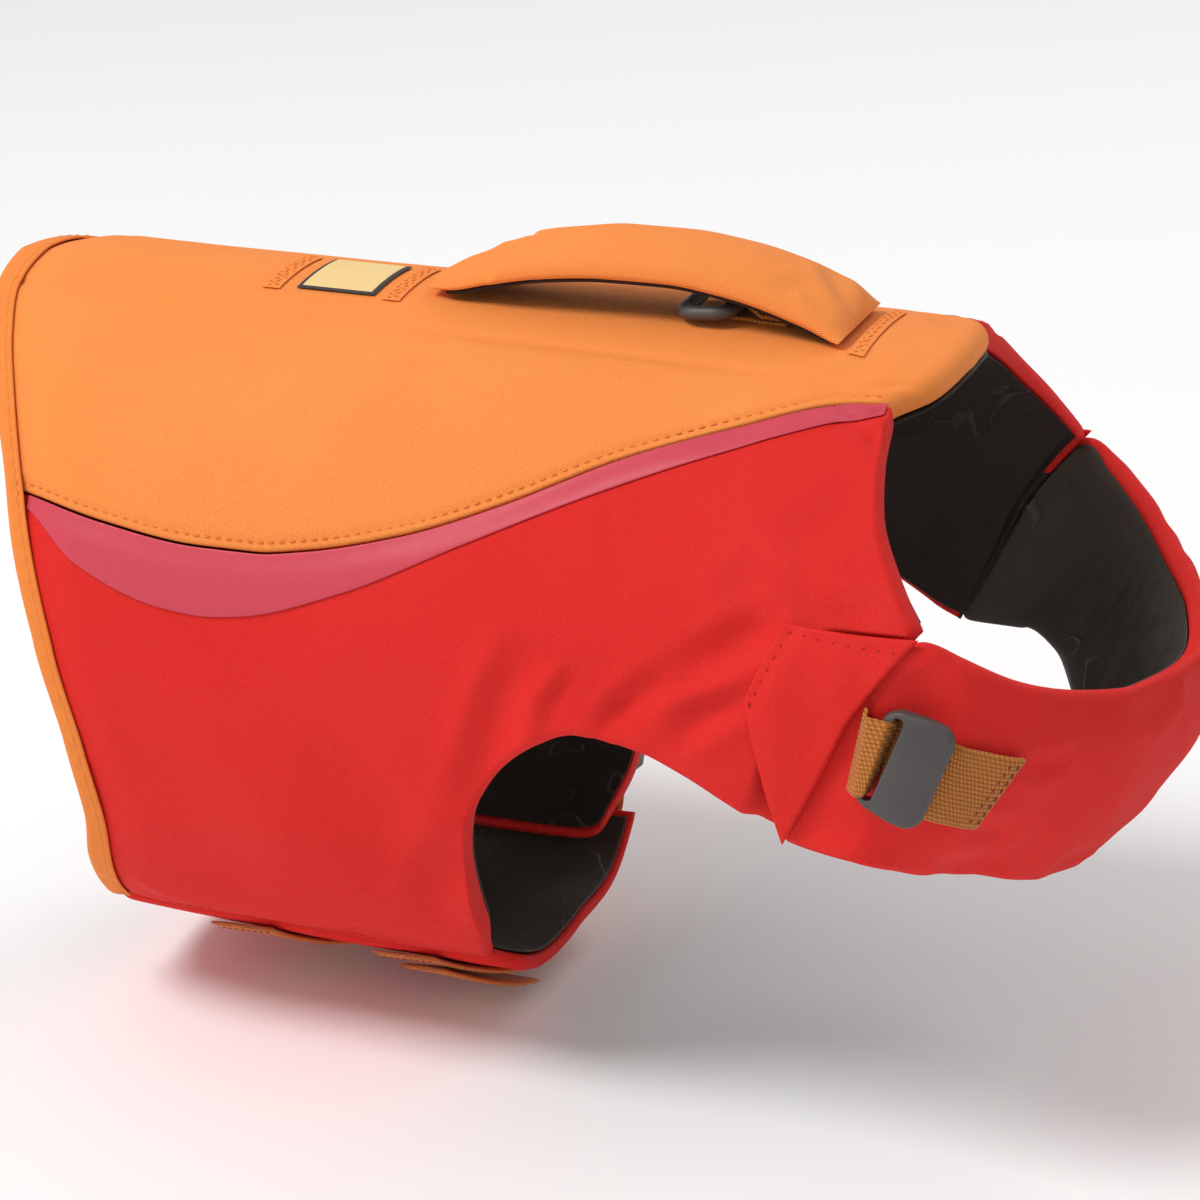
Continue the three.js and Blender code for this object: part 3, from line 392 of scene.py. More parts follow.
def setNormal(tree, bsdf, *layers):
    normal = None
    for height, strength, distance in layers:
        bump = addNode(tree, "ShaderNodeBump", Strength=strength, Distance=distance, Height=height)
        if normal:
            tree.links.new(normal, bump.inputs["Normal"])
        normal = bump.outputs[0]
    tree.links.new(normal, bsdf.inputs["Normal"])


def clothMaterial(name, colour, shade, ribs, slant=1.0, roughness=.78, sheen=.06, weaveTint=.55, bump=.6):
    material, tree, bsdf, where = newMaterial(name, Sheen_Weight=sheen, Sheen_Roughness=.4,
                                              Specular_IOR_Level=.22)
    bsdf.inputs["Sheen Tint"].default_value = (*colour, 1)
    twill = useGroup(tree, "twill", i0=where.outputs["UV"], i1=ribs, i2=slant)
    wear = useGroup(tree, "wear", i0=where.outputs["Object"])
    base = mixColour(tree, mathNode(tree, "MULTIPLY", twill.outputs[1], weaveTint), (*colour, 1), (*shade, 1))
    faded = mixColour(tree, mathNode(tree, "MULTIPLY", wear.outputs[0], .10), base,
                      (*[min(1, c * 1.25 + .015) for c in colour], 1))
    tree.links.new(mixColour(tree, mathNode(tree, "MULTIPLY", wear.outputs[1], .10), faded, (*shade, 1)),
                   bsdf.inputs["Base Color"])
    tree.links.new(mathNode(tree, "MULTIPLY_ADD", wear.outputs[0], -.07, roughness), bsdf.inputs["Roughness"])
    puckers = addNode(tree, "ShaderNodeTexNoise", Vector=where.outputs["Object"], Scale=70.0, Detail=2.0)
    setNormal(tree, bsdf, (puckers.outputs[0], .18, .002), (twill.outputs[0], bump, .0003))
    return material


def liningMaterial(name, colour, line, roughness=.55):
    material, tree, bsdf, where = newMaterial(name, Sheen_Weight=.03, Specular_IOR_Level=.2)
    creaseAndHighlight = useGroup(tree, "creaseAndHighlight", i0=where.outputs["Object"])
    wear = useGroup(tree, "wear", i0=where.outputs["Object"], i1=22.0)
    base = mixColour(tree, mathNode(tree, "MULTIPLY", wear.outputs[0], .35), (*colour, 1),
                     (*[c * 1.7 for c in colour], 1))
    # Painted highlight: the crease lines are mixed towards the lighter line colour.
    tree.links.new(mixColour(tree, mathNode(tree, "MULTIPLY", creaseAndHighlight.outputs[0], .35), base, (*line, 1)),
                   bsdf.inputs["Base Color"])
    tree.links.new(mathNode(tree, "MULTIPLY_ADD", wear.outputs[1], .15, roughness), bsdf.inputs["Roughness"])
    weave = useGroup(tree, "twill", i0=where.outputs["UV"], i1=1500.0, i2=0.0)
    setNormal(tree, bsdf, (creaseAndHighlight.outputs[1], .5, .004), (weave.outputs[0], .15, .0002))
    return material


def webbingMaterial(name, colour, grooveShade, ribs=740.0, picks=820.0):
    material, tree, bsdf, where = newMaterial(name, Specular_IOR_Level=.35, Sheen_Weight=.1)
    weave = useGroup(tree, "webbing", i0=where.outputs["UV"], i1=ribs, i2=picks)
    wear = useGroup(tree, "wear", i0=where.outputs["Object"], i1=60.0)
    # Painted shade: the weave's grooves are mixed towards the darker groove colour.
    base = mixColour(tree, mathNode(tree, "POWER", weave.outputs[1], 1.4), (*colour, 1), (*grooveShade, 1))
    tree.links.new(mixColour(tree, mathNode(tree, "MULTIPLY", wear.outputs[0], .2), base,
                             (*[c * .8 for c in colour], 1)), bsdf.inputs["Base Color"])
    tree.links.new(mathNode(tree, "MULTIPLY_ADD", weave.outputs[1], .2, .5), bsdf.inputs["Roughness"])
    setNormal(tree, bsdf, (weave.outputs[0], .8, .0007))
    return material


def plasticMaterial(name, colour, roughness=.42):
    material, tree, bsdf, where = newMaterial(name, Specular_IOR_Level=.5)
    wear = useGroup(tree, "wear", i0=where.outputs["Object"], i1=90.0, i2=1400.0)
    base = mixColour(tree, mathNode(tree, "MULTIPLY", wear.outputs[0], .3), (*colour, 1),
                     (*[c * 1.5 for c in colour], 1))
    tree.links.new(base, bsdf.inputs["Base Color"])
    tree.links.new(mathNode(tree, "MULTIPLY_ADD", wear.outputs[0], .12, roughness), bsdf.inputs["Roughness"])
    setNormal(tree, bsdf, (wear.outputs[1], .12, .0004))
    return material


# Colours are linear, worked out from the cloth's look in even light.
finishes = {
    "backCloth": clothMaterial("back twill", (.95, .30, .068), (.70, .165, .025), 1150.0, 1.0),
    "sideCloth": clothMaterial("side twill", (.78, .021, .016), (.48, .006, .004), 1050.0, -1.0,
                               roughness=.74, sheen=.08),
    "accentCloth": clothMaterial("accent cloth", (.58, .058, .088), (.48, .04, .06), 1900.0, 0.0, .42, .15,
                                 .2, .1),
    "bindingTape": clothMaterial("binding tape", (.84, .245, .045), (.62, .14, .02), 1600.0, 0.0, .7, .06,
                                 .35, .25),
    # The line colour of each lining is a painted highlight along its creases.
    "liningCloth": liningMaterial("lining", (.021, .0115, .0085), (.11, .085, .068)),
    "liningPale": liningMaterial("chest lining", (.050, .037, .029), (.17, .14, .118)),
    # The second colour of each webbing is painted shade for its weave's grooves.
    "webbing": webbingMaterial("webbing", (.68, .225, .022), (.26, .07, .006)),
    "beltWebbing": webbingMaterial("belly webbing", (.86, .25, .05), (.45, .10, .015), 620.0, 900.0),
    "moulded": plasticMaterial("moulded plastic", (.062, .054, .052)),
    "patchCloth": clothMaterial("label cloth", (.86, .62, .28), (.62, .40, .12), 1500.0, 0.0, .6, .2, .3, .2),
    "patchEdge": clothMaterial("label edge", (.05, .045, .045), (.02, .018, .018), 1500.0, 0.0, .6, .2, .3,
                               .2),
    "redThread": clothMaterial("red thread", (.48, .012, .008), (.25, .004, .003), 3000.0, 0.0, .6, .1, .3,
                               .1),
    "orangeThread": clothMaterial("orange thread", (.80, .22, .04), (.55, .12, .015), 3000.0, 0.0, .6, .1,
                                  .3, .1),
    "darkThread": clothMaterial("dark thread", (.30, .05, .02), (.16, .02, .01), 3000.0, 0.0, .6, .1, .3, .1),
}
print("finishes made")


def dress(piece, finish, slotName, nodes=(), body="jacket"):
    piece.data.materials.append(finishes[finish])
    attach(piece, body)
    if nodes:
        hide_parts(*nodes)
    return piece


# Stitches: joined capsules along a path, each bedded at both ends; normals point away from the cloth.
def stitchRow(name, path, normals, finish, slotName, length=2.6, gap=.9, radius=.33, lift=.12, body="jacket"):
    gone = travelled(path, 0)
    count = max(2, int(gone[-1] / (length + gap)))
    starts = (np.arange(count) + .5) * gone[-1] / count
    sections, corners = 6, 5
    along = np.linspace(-.5, .5, sections)
    at = starts[:, None] + along * length
    centre = np.stack([np.interp(at, gone, path[:, k]) for k in range(3)], -1)
    up = np.stack([np.interp(starts, gone, normals[:, k]) for k in range(3)], -1)
    up /= np.linalg.norm(up, axis=1, keepdims=True)
    run = centre[:, -1] - centre[:, 0]
    run /= np.linalg.norm(run, axis=1, keepdims=True)
    side = np.cross(run, up)
    turns = np.linspace(0, 2 * np.pi, corners + 1)[:-1, None]
    thick = radius * np.sqrt(1 - (1.9 * along) ** 2)[None, :, None, None]
    sink = (lift - 2.2 * radius * (2 * along) ** 4)[None, :, None, None]
    ring = np.cos(turns) * side[:, None, None] + np.sin(turns) * up[:, None, None]
    points = centre[:, :, None] + thick * ring + sink * up[:, None, None]
    index = np.arange(count * sections * corners).reshape(count, sections, corners)
    index = np.concatenate([index, index[:, :, :1]], 2)
    faces = np.stack([index[:, :-1, :-1], index[:, 1:, :-1], index[:, 1:, 1:], index[:, :-1, 1:]],
                     -1).reshape(-1, 4)
    ends = np.concatenate([index[:, 0, :corners], index[:, -1, corners - 1::-1]])
    flat = points.reshape(-1, 3)
    spread = np.stack([faces * 0.0, faces * 0.0], -1)
    piece = meshObject(name, flat, [(faces, spread), (ends, np.zeros((len(ends), corners, 2)))])
    return dress(piece, finish, slotName, body=body)


# Path and outward normals over the body at places (s, phi), lifted by out(s, phi).
def bodyPath(s, phi, out):
    low, high = onBody(s, phi, out), onBody(s, phi, out + 1)
    return low, high - low


# Back, sides and their edges.
shell = {
    "seamEase": .26, "edgeInBinding": 1.8, "hemBlend": 5.5, "liningOut": .9, "panelIn": 1.3, "panelOut": 9,
    "hemOut": 4.6, "lowerEdgeOut": 5, "taper": 24, "lowerSeamPhi": 151, "bellyStitchIn": 3.4,
    "pocketFloor": 3.8,
    "hemPhi": [0, 15, 30, 45, 60, 75, 90, 106, 119, 134, 150],
    "hemOuter": [-12, -8, 0, 9, 18, 24, 31, 39, 41, 36, 33],
    "hemInner": [-1, 1, 8, 17, 25, 32, 39, 47, 49.5, 46, 42],
    "seamS": [-12, 29, 55, 89, 106, 122, 153, 183, 216, 249, 276, 291],
    "seamPhi": [60, 63.9, 66.9, 69, 69, 67.8, 63.1, 55.5, 44.3, 34.2, 26, 24],
    "neckPhi": [0, 8, 15.6, 21.5, 24, 30, 70],
    "neckS": [304, 303, 300.8, 296, 293, 291, 291],
    "seamStart": 20.6, "seamEnd": 290.5,
}


def hemOuter(phi):
    return monotoneAt(shell["hemPhi"], shell["hemOuter"], np.minimum(np.abs(phi), 150))


def hemInner(phi):
    return monotoneAt(shell["hemPhi"], shell["hemInner"], np.minimum(np.abs(phi), 150))


def seamPhi(s):
    return monotoneAt(shell["seamS"], shell["seamPhi"], s)


# Padding over the body: it thins out towards the hem and towards the belly seam.
def panelOut(s, phi):
    side = np.abs(phi)
    fromHem = between(shell["hemOut"], shell["panelOut"], softStep(0, shell["taper"], s - hemOuter(side)))
    return between(fromHem, np.minimum(fromHem, shell["lowerEdgeOut"]),
                   softStep(136, shell["lowerSeamPhi"], side))


# u runs along the seam from hem to neck, v across from the right seam to the left one.
def backPlace(u, v):
    share = np.abs(v)
    ease = shell["seamEase"] / bodyTable["mmPerDegree"]
    hemS = hemOuter(share * (seamPhi(shell["seamStart"]) - ease)) + shell["edgeInBinding"]
    neck = monotoneAt(shell["neckPhi"], shell["neckS"], share * (seamPhi(shell["seamEnd"]) - ease))
    front = between(neck, shell["seamEnd"], share ** 6)
    s = between(between(hemS, shell["seamStart"], share ** 6), front, u)
    return s, v * (seamPhi(between(shell["seamStart"], shell["seamEnd"], u)) - ease)


back = {
    "rows": 165, "columns": 150, "seamDip": .9, "stitchIn": 3.2, "stitchDip": .45, "lumps": .22,
    "quiltS": [-30, 4, 65, 95, 142, 197, 248, 276, 290],
    "quiltPhi": [13, 14.7, 18.2, 17, 17.8, 18.9, 20.2, 21.5, 19],
    "quiltWidth": 2.4, "quiltDip": .85,
    "creases": [
        ([(293, 6), (286, 14), (270, 18)], 4, -.8), ([(282, -8), (276, -16), (262, -21)], 5, -.7),
        ([(60, 50), (100, 55), (150, 47)], 14, -.5), ([(70, -52), (120, -56), (170, -44)], 14, -.5),
        ([(225, 34), (246, 27), (262, 22)], 6, -.5), ([(228, -33), (247, -25), (266, -24)], 6, -.6),
        ([(22, 20), (30, 35), (33, 48)], 6, -.4), ([(20, -24), (27, -38), (34, -50)], 6, -.4),
    ],
}


# Form of the back above its padding: sunk along both seams, the stitches and the quilting, with a few creases.
def backRelief(s, phi):
    side = np.abs(phi)
    toSeam = (seamPhi(s) - side) * bodyTable["mmPerDegree"]
    relief = -back["seamDip"] * np.exp(-(toSeam / 3.2) ** 2)
    relief -= back["stitchDip"] * np.exp(-((toSeam - back["stitchIn"]) / 1.1) ** 2)
    quilt = (side - monotoneAt(back["quiltS"], back["quiltPhi"], s)) * bodyTable["spineMmPerDegree"]
    relief -= back["quiltDip"] * np.exp(-(quilt / back["quiltWidth"]) ** 2)
    away = softStep(14, 26, side)
    relief += foamLumps(s, phi * bodyTable["roughMmPerDegree"], back["lumps"]) * away
    return relief + creaseField(s, phi, back["creases"], creaseScale)


def backOut(s, phi):
    return panelOut(s, phi) + backRelief(s, phi)


wall = clothWall(backPlace, crowded(back["rows"]), crowded(back["columns"], .02) * 2 - 1,
                 lambda s, phi, u, v: shell["panelIn"], lambda s, phi, u, v: backOut(s, phi),
                 (1.5, 5.5, .8, .8))
backPanel = dress(shellMesh("backPanel", *wall), "backCloth", "back_cloth", ["back_panel"])

lining = {
    "wrinkle": .5,
    "creases": [
        ([(300, 10), (270, 25), (255, 50)], 4, -.9), ([(290, -20), (262, -28), (240, -45)], 4, -.9),
        ([(285, 60), (255, 75), (235, 70)], 3.5, -.9), ([(250, 50), (240, 90), (205, 85)], 4, -.8),
        ([(262, -60), (250, -85), (262, -98)], 3.5, -.9), ([(240, -40), (225, -70), (240, -92)], 4, -.9),
        ([(180, 90), (150, 110), (135, 140)], 5, -1), ([(176, -100), (150, -120), (140, -145)], 5, -1),
        ([(60, 120), (90, 105), (120, 118)], 6, -1), ([(55, -122), (88, -104), (125, -120)], 6, -1),
        ([(40, 30), (80, 22), (120, 35)], 6, -.8), ([(45, -30), (90, -20), (130, -34)], 6, -.8),
    ],
}


# Height of the lining's inner face; it is negative where the loose cloth hangs into the hollow.
def liningSag(s, phi):
    fine = np.sin(s / 5.3 + phi / 9 + 2 * np.sin(phi / 17)) * np.sin(phi / 6.1 - s / 13)
    return lining["wrinkle"] * (fine - .6) * .6 + creaseField(s, phi, lining["creases"], creaseScale)


def liningWall(name, place, us, vs, nodes):
    grid = clothWall(place, us, vs, lambda s, phi, u, v: liningSag(s, phi) - .1,
                     lambda s, phi, u, v: liningSag(s, phi) + .8, (.8, .8, .8, .8), .5, .8)
    piece = dress(shellMesh(name, *grid), "liningCloth", "lining_cloth", nodes)
    return piece


liningWall("liningBack", lambda u, v: (backPlace(u, v)[0], backPlace(u, v)[1] * (1 + .03 * np.abs(v) ** 9)),
           crowded(100, .01, 3), crowded(90, .01, 3) * 2 - 1, ["lining_back"])
print("back made")

side = {
    "topS": [20.6, 25, 31, 41, 60, 89, 115, 134, 144, 150, 156, 163, 171, 181, 193, 209, 228, 247, 268,
             290.5, 294, 298.5, 307, 315.8],
    "neckPhi": [36, 49, 61, 71.2],
    "lowS": [34.6, 38.5, 43.5, 51, 64, 96, 130, 157, 166.5, 169, 173, 173.3, 176, 181, 189, 200, 212, 230,
             246, 258, 266, 271, 274.4, 276.8],
    "lowPhi": [151, 151, 151, 151, 151, 151, 151, 151, 149.5, 144, 133, 119, 109.4, 104, 99.2, 95.6, 93.9,
               95.2, 98.4, 101.8, 104.2, 105.6, 106.4, 107],
    "row": .42, "rowPhi": 72.5, "seamCount": 20, "creaseGain": 1.35, "seamDip": 1.7, "lumps": .35,
    "pocket": {"topPhi": 76, "topDepth": 19, "lowPhi": 102, "lowDepth": 8.5, "ramp": 6, "lipPhi": 74.6},
    "tabFront": [(317.4, 72.8), (277, 107)],
    "rightCreases": [
        ([(201, 79), (190, 90), (183, 99), (176, 108)], 6, -2.0),
        ([(215, 84), (207, 89.5), (201, 94)], 3.6, -1.5),
        ([(221, 86), (214, 90.5), (208, 94)], 2.6, -1.1),
        ([(245, 82.5), (234, 86.8), (222, 93.5)], 4.2, -1.6),
        ([(231, 87), (222, 91), (216, 94)], 2.6, -1.2),
        ([(278, 71.2), (268, 74.9), (258, 78.5), (243, 83.5)], 5.2, -1.8),
        ([(267, 86.4), (255, 89), (243, 93)], 3.6, -1.8), ([(275, 62), (284, 70), (302, 72.5)], 6, -1.5),
        ([(257, 62), (266, 69.5), (264, 77)], 7, -1.1), ([(292, 26), (285, 28.5), (275, 28.5)], 2.2, -1.2),
        ([(294, 36), (287, 32), (276, 30.5)], 2.8, -1.2), ([(177, 111), (164, 121), (157, 131)], 7, -1.6),
        ([(262, 40), (240, 52), (214, 60)], 13, -.9), ([(60, 100), (85, 118), (100, 140)], 16, -.8),
        ([(128, 96), (150, 112), (160, 134)], 12, -1.0), ([(292, 44), (284, 52), (270, 56)], 7, -.8),
        ([(48, 136), (60, 143), (76, 147)], 5, -.7), ([(110, 148), (128, 143), (150, 140)], 6, -.8),
    ],
    "leftCreases": [
        ([(204, 80), (192, 89), (184, 101)], 5.5, -1.9), ([(219, 83), (210, 89), (204, 94)], 4, -1.4),
        ([(229, 87), (221, 91), (214, 94)], 2.8, -1.2), ([(250, 80), (238, 86), (224, 93)], 4.6, -1.5),
        ([(279, 70), (266, 76), (249, 82)], 5.5, -1.9), ([(268, 88), (257, 91), (247, 93)], 3.4, -1.6),
        ([(272, 60), (283, 69), (300, 71)], 6.5, -1.4), ([(292, 27), (284, 30), (272, 30)], 2.4, -1.2),
        ([(295, 40), (286, 36), (274, 35)], 3, -1.0), ([(178, 108), (166, 120), (152, 127)], 7, -1.5),
        ([(258, 44), (236, 54), (208, 66)], 13, -.9), ([(66, 96), (84, 122), (96, 142)], 15, -.9),
        ([(132, 92), (148, 110), (154, 136)], 11, -1.0), ([(114, 147), (132, 142), (148, 141)], 6, -.8),
    ],
}


# t counts the panel's columns from the hem to the chest, h runs down each from its seam or neck edge.
def sidePlace(t, h):
    number = np.arange(len(side["topS"]))
    topPhi = np.concatenate([seamPhi(np.array(side["topS"][:side["seamCount"]])), side["neckPhi"]])
    topS, upPhi = monotoneAt(number, side["topS"], t), monotoneAt(number, topPhi, t)
    lowS, lowPhi = monotoneAt(number, side["lowS"], t), monotoneAt(number, side["lowPhi"], t)
    fade = np.maximum(0, 1 - t / shell["hemBlend"]) ** 2
    hemLine = between(side["topS"][0], side["lowS"][0], h)
    hemPhi = between(topPhi[0], side["lowPhi"][0], h)
    bow = (hemOuter(hemPhi) + shell["edgeInBinding"] - hemLine) * softStep(0, .1, h)
    bend = between(between(upPhi, lowPhi, side["row"]), side["rowPhi"], softStep(14, 18, t))
    upper = between(upPhi, bend, h / side["row"])
    lower = between(bend, lowPhi, (h - side["row"]) / (1 - side["row"]))
    phi = np.where(h < side["row"], upper, lower)
    across = (phi - upPhi) / (lowPhi - upPhi)
    s = between(topS, lowS, across) + bow * fade
    return s, phi + (1 - h) * shell["seamEase"] / bodyTable["mmPerDegree"]


# Share, 0 to 1, of the bare recess behind the tab's front edge that takes the chest panel's end.
def pocketShare(s, phi):
    (s0, phi0), (s1, phi1) = side["tabFront"]
    run, fall = s1 - s0, (phi1 - phi0) * bodyTable["mmPerDegree"]
    behind = ((phi - phi0) * bodyTable["mmPerDegree"] * run - (s - s0) * fall) / math.hypot(run, fall)
    pocket = side["pocket"]
    share = np.clip((phi - pocket["topPhi"]) / (pocket["lowPhi"] - pocket["topPhi"]), 0, 1)
    depth = between(pocket["topDepth"], pocket["lowDepth"], share)
    return (1 - softStep(depth, depth + pocket["ramp"], behind)) * softStep(side["rowPhi"],
            pocket["lipPhi"], phi)


# Form of a side above its padding: sunk under the back's edge and along the belly stitches, with its creases.
def sideRelief(s, phi, hand):
    below = (phi - seamPhi(s)) * bodyTable["mmPerDegree"]
    onSeam = 1 - softStep(286, 296, s)
    relief = -side["seamDip"] * np.exp(-(below / 5.5) ** 2) * onSeam
    toBelly = (shell["lowerSeamPhi"] - phi) * bodyTable["mmPerDegree"]
    relief -= .5 * np.exp(-((toBelly - shell["bellyStitchIn"]) / 1.3) ** 2)
    relief += foamLumps(s + 40 * hand, phi * bodyTable["roughMmPerDegree"], side["lumps"]) * softStep(4, 20,
            below)
    creases = side["rightCreases"] if hand < 0 else side["leftCreases"]
    return relief + side["creaseGain"] * creaseField(s, phi, creases, creaseScale)


def sideOut(s, phi, hand):
    pocket = pocketShare(s, phi)
    return between(panelOut(s, phi) + sideRelief(s, phi, hand), shell["pocketFloor"], pocket)


accent = {
    "s": [27, 31.6, 49.4, 77, 91, 104, 136, 173, 207, 240, 272, 290],
    "phi": [66, 67.6, 75.2, 80.3, 81, 80.3, 74.5, 63.7, 53.2, 42.9, 33, 27],
    "front": 290, "thick": .5, "over": .25,
}
tab = {
    "rearTop": (276, 72.2), "frontTop": (316.4, 73.1), "rearLow": (265.5, 87), "frontLow": (277, 107),
    "thick": 2.0, "over": .3, "stitchIn": 2.2, "rearWide": 26, "frontWide": 30, "tall": 28,
}


def tabPlace(a, b):
    corner = {k: np.array(tab[k], float) for k in ("rearTop", "frontTop", "rearLow", "frontLow")}
    top = [between(corner["rearTop"][k], corner["frontTop"][k], a) for k in (0, 1)]
    low = [between(corner["rearLow"][k], corner["frontLow"][k], a) for k in (0, 1)]
    bow = 1.1 * np.sin(np.pi * a) * (1 - b)  # the top seam dips a little between its corners
    return between(top[0], low[0], b), between(top[1], low[1], b) + bow * .5


def tabOut(s, phi, a, b, hand):
    puff = .8 * np.sin(np.pi * np.clip(a, 0, 1)) ** .6 * np.sin(np.pi * np.clip(b, 0, 1)) ** .5
    slack = creaseField(s, phi,
                        [([(282, 76), (286, 86), (280, 95)], 6, -.5),
                         ([(300, 75), (303, 82), (297, 90)], 5, -.4)],
                        creaseScale)
    dip = -.9 * np.exp(-(a * tab["rearWide"] / tab["stitchIn"] - 1) ** 2) - .7 * np.exp(-(b
            * tab["rearWide"] / tab["stitchIn"] - 1) ** 2)
    return shell["panelOut"] + tab["over"] + tab["thick"] + puff + slack + dip + .4 * softStep(.8, 1, a)


for sideName, hand in (("right", -1), ("left", 1)):
    mirrored = lambda t, h: (sidePlace(t, h)[0], hand * sidePlace(t, h)[1])
    ts = np.concatenate([np.linspace(0, .25, 4)[:-1], np.linspace(.25, 22.75, 170),
                         23 - np.linspace(.25, 0, 5)[1:]])
    hs = crowded(104, .025)
    seamRim = between(.7, 4.5, softStep(19, 19.6, ts))[:, None]
    lowRim = between(1.6, 4.5, softStep(7.5, 9.5, ts))[:, None]
    grid = clothWall(mirrored, ts, hs, lambda s, phi, u, v: shell["panelIn"],
                     lambda s, phi, u, v: sideOut(s, np.abs(phi), hand), (1.5, 2.5, seamRim, lowRim))
    panel = dress(shellMesh(f"sidePanel_{sideName}", *grid), "sideCloth", "side_cloth",
                  [f"side_panel_{sideName}"])
    # Its bare front rim under the tab is bound with the lining cloth.
    panel.data.materials.append(finishes["liningCloth"])
    rows, cols = np.meshgrid(np.arange(len(ts) - 1), np.arange(len(hs) - 1), indexing="ij")
    bound = ((rows > len(ts) - 7) & (hs[cols] > .56)).astype(np.int32).ravel()
    panel.data.polygons.foreach_set("material_index", np.concatenate([bound, bound]))
    liningWall(f"sideLining_{sideName}", mirrored, np.linspace(0, 22.8, 110),
               between(.02, .985, crowded(70, .01, 3)), [f"lining_{sideName}"])

    # Accent: thin smooth cloth over the side panel, from under the back's edge down to its own curve.
    a, b = np.meshgrid(crowded(150, .004, 3), crowded(12, .06, 4), indexing="ij")
    s = between(hemInner(65) + .6, accent["front"], a)
    top = seamPhi(s) + .05
    phi = between(top, np.maximum(monotoneAt(accent["s"], accent["phi"], s), top + .4), b)
    share = roundRim(np.minimum(b, 1 - b) * 8, .5) * roundRim(np.minimum(a, 1 - a) * 260, .8)
    base = sideOut(s, phi, hand) + accent["over"]
    outer = onBody(s, hand * phi, base + accent["thick"] * (.5 + .5 * share))
    inner = onBody(s, hand * phi, base + accent["thick"] * (.5 - .5 * share))
    strip = shellMesh(f"accentStrip_{sideName}", outer, inner, cutPlace(s, phi))
    dress(strip, "accentCloth", "accent_cloth", [f"accent_{sideName}"])

    # Tab: one layer folded over the chest panel's end, sewn at its top and rear.
    a, b = np.meshgrid(crowded(34, .06), crowded(30, .06), indexing="ij")
    s, phi = tabPlace(a, b)
    rim = roundRim(a * tab["rearWide"], 2.5) * roundRim((1 - a) * tab["frontWide"], 1.1)
    rim = rim * roundRim(b * tab["tall"], 1.6) * roundRim((1 - b) * tab["tall"], 8)
    onPanel = panelOut(s, phi) + sideRelief(s, phi, hand) + tab["over"]
    low = between(shell["panelOut"] + tab["over"], onPanel, softStep(.55, .95, b) * (1 - softStep(.8, 1, a)))
    high = tabOut(s, phi, a, b, hand) + low - shell["panelOut"] - tab["over"]
    middle = between(low, high, .35)
    outer, inner = onBody(s, hand * phi, between(middle, high, rim)), onBody(s, hand * phi,
            between(middle, low, rim))
    flap = shellMesh(f"chestTab_{sideName}", outer, inner, cutPlace(s, phi))
    dress(flap, "sideCloth", "side_cloth", [f"chest_tab_{sideName}"])

    # Stitches: along the back's lower edge, the belly seam, and the tab's top and rear.
    s = np.linspace(24, 288, 220)
    phi = seamPhi(s) - back["stitchIn"] / bodyTable["mmPerDegree"]
    stitchRow(f"backStitches_{sideName}", *bodyPath(s, hand * phi, backOut(s, phi)), "orangeThread",
              "back_cloth")
    s = np.linspace(44, 150, 90)
    phi = np.full_like(s, shell["lowerSeamPhi"] - shell["bellyStitchIn"] / bodyTable["mmPerDegree"])
    stitchRow(f"bellySeamStitches_{sideName}", *bodyPath(s, hand * phi, sideOut(s, phi, hand)), "redThread",
              "side_cloth")
    run = np.linspace(.03, .97, 40)
    inset = tab["stitchIn"] / tab["rearWide"]
    for key, (a, b) in {"top": (run, np.full(40, inset)), "rear": (np.full(40, inset), run)}.items():
        s, phi = tabPlace(a, b)
        path = bodyPath(s, hand * phi, tabOut(s, phi, a, b, hand) - .25)
        stitchRow(f"tabStitches_{key}_{sideName}", *path, "redThread", "side_cloth", length=1.9, gap=2.1,
                  radius=.42)
print("sides made")

binding = {"end": 149.5, "wall": .9, "over": .45, "columns": 420, "pucker": .22, "stitchIn": 1.7}


# Tape folded round the hem: its section is an open hook of one wall, carried along the hem's own line.
def bindingSection(phi):
    outer, inner = hemOuter(phi), hemInner(phi)
    middle = (outer + inner) / 2 + 1
    over = lambda s: panelOut(s, phi) + backRelief(s, phi) * .3 + binding["over"]
    ripple = binding["pucker"] * np.sin(phi * 1.9 + 1.3 * np.sin(phi / 7)) + .12 * np.sin(phi * 4.3)
    w = binding["wall"]
    outside = [
        (inner, over(inner) + .1 * w), (inner + .05, over(inner) + w * .8),
        (inner - .8, over(inner) + w + .1),
        (inner - 1.7, over(inner) + w - .25), (inner - 2.6, over(inner) + w + .1 + ripple),
        (middle, over(middle) + w + .45 + ripple),
        ((middle + outer) / 2 + .2, shell["hemOut"] + 2.2 + ripple * .5),
        (outer + 1, shell["hemOut"] + 1.3), (outer + .1, shell["hemOut"] - .4), (outer - .15, 2),
        (outer + .3, -.7),
        (outer + 1.4, -1.5), (middle, -1.7), (inner - .4, -1.6), (inner, -1.1),
    ]
    inside = [(inner - .4, -.6), (middle, -.65), (outer + 1.3, -.5), (outer + .9, 1.5),
              (outer + 1.1, shell["hemOut"] + .2),
              (middle, over(middle)), (inner - .8, over(inner))]
    return np.stack([np.stack(np.broadcast_arrays(s + 0 * phi, out + 0 * phi), -1) for s,
                     out in outside + inside], 1)


phi = np.linspace(-binding["end"], binding["end"], binding["columns"])
section = bindingSection(phi)
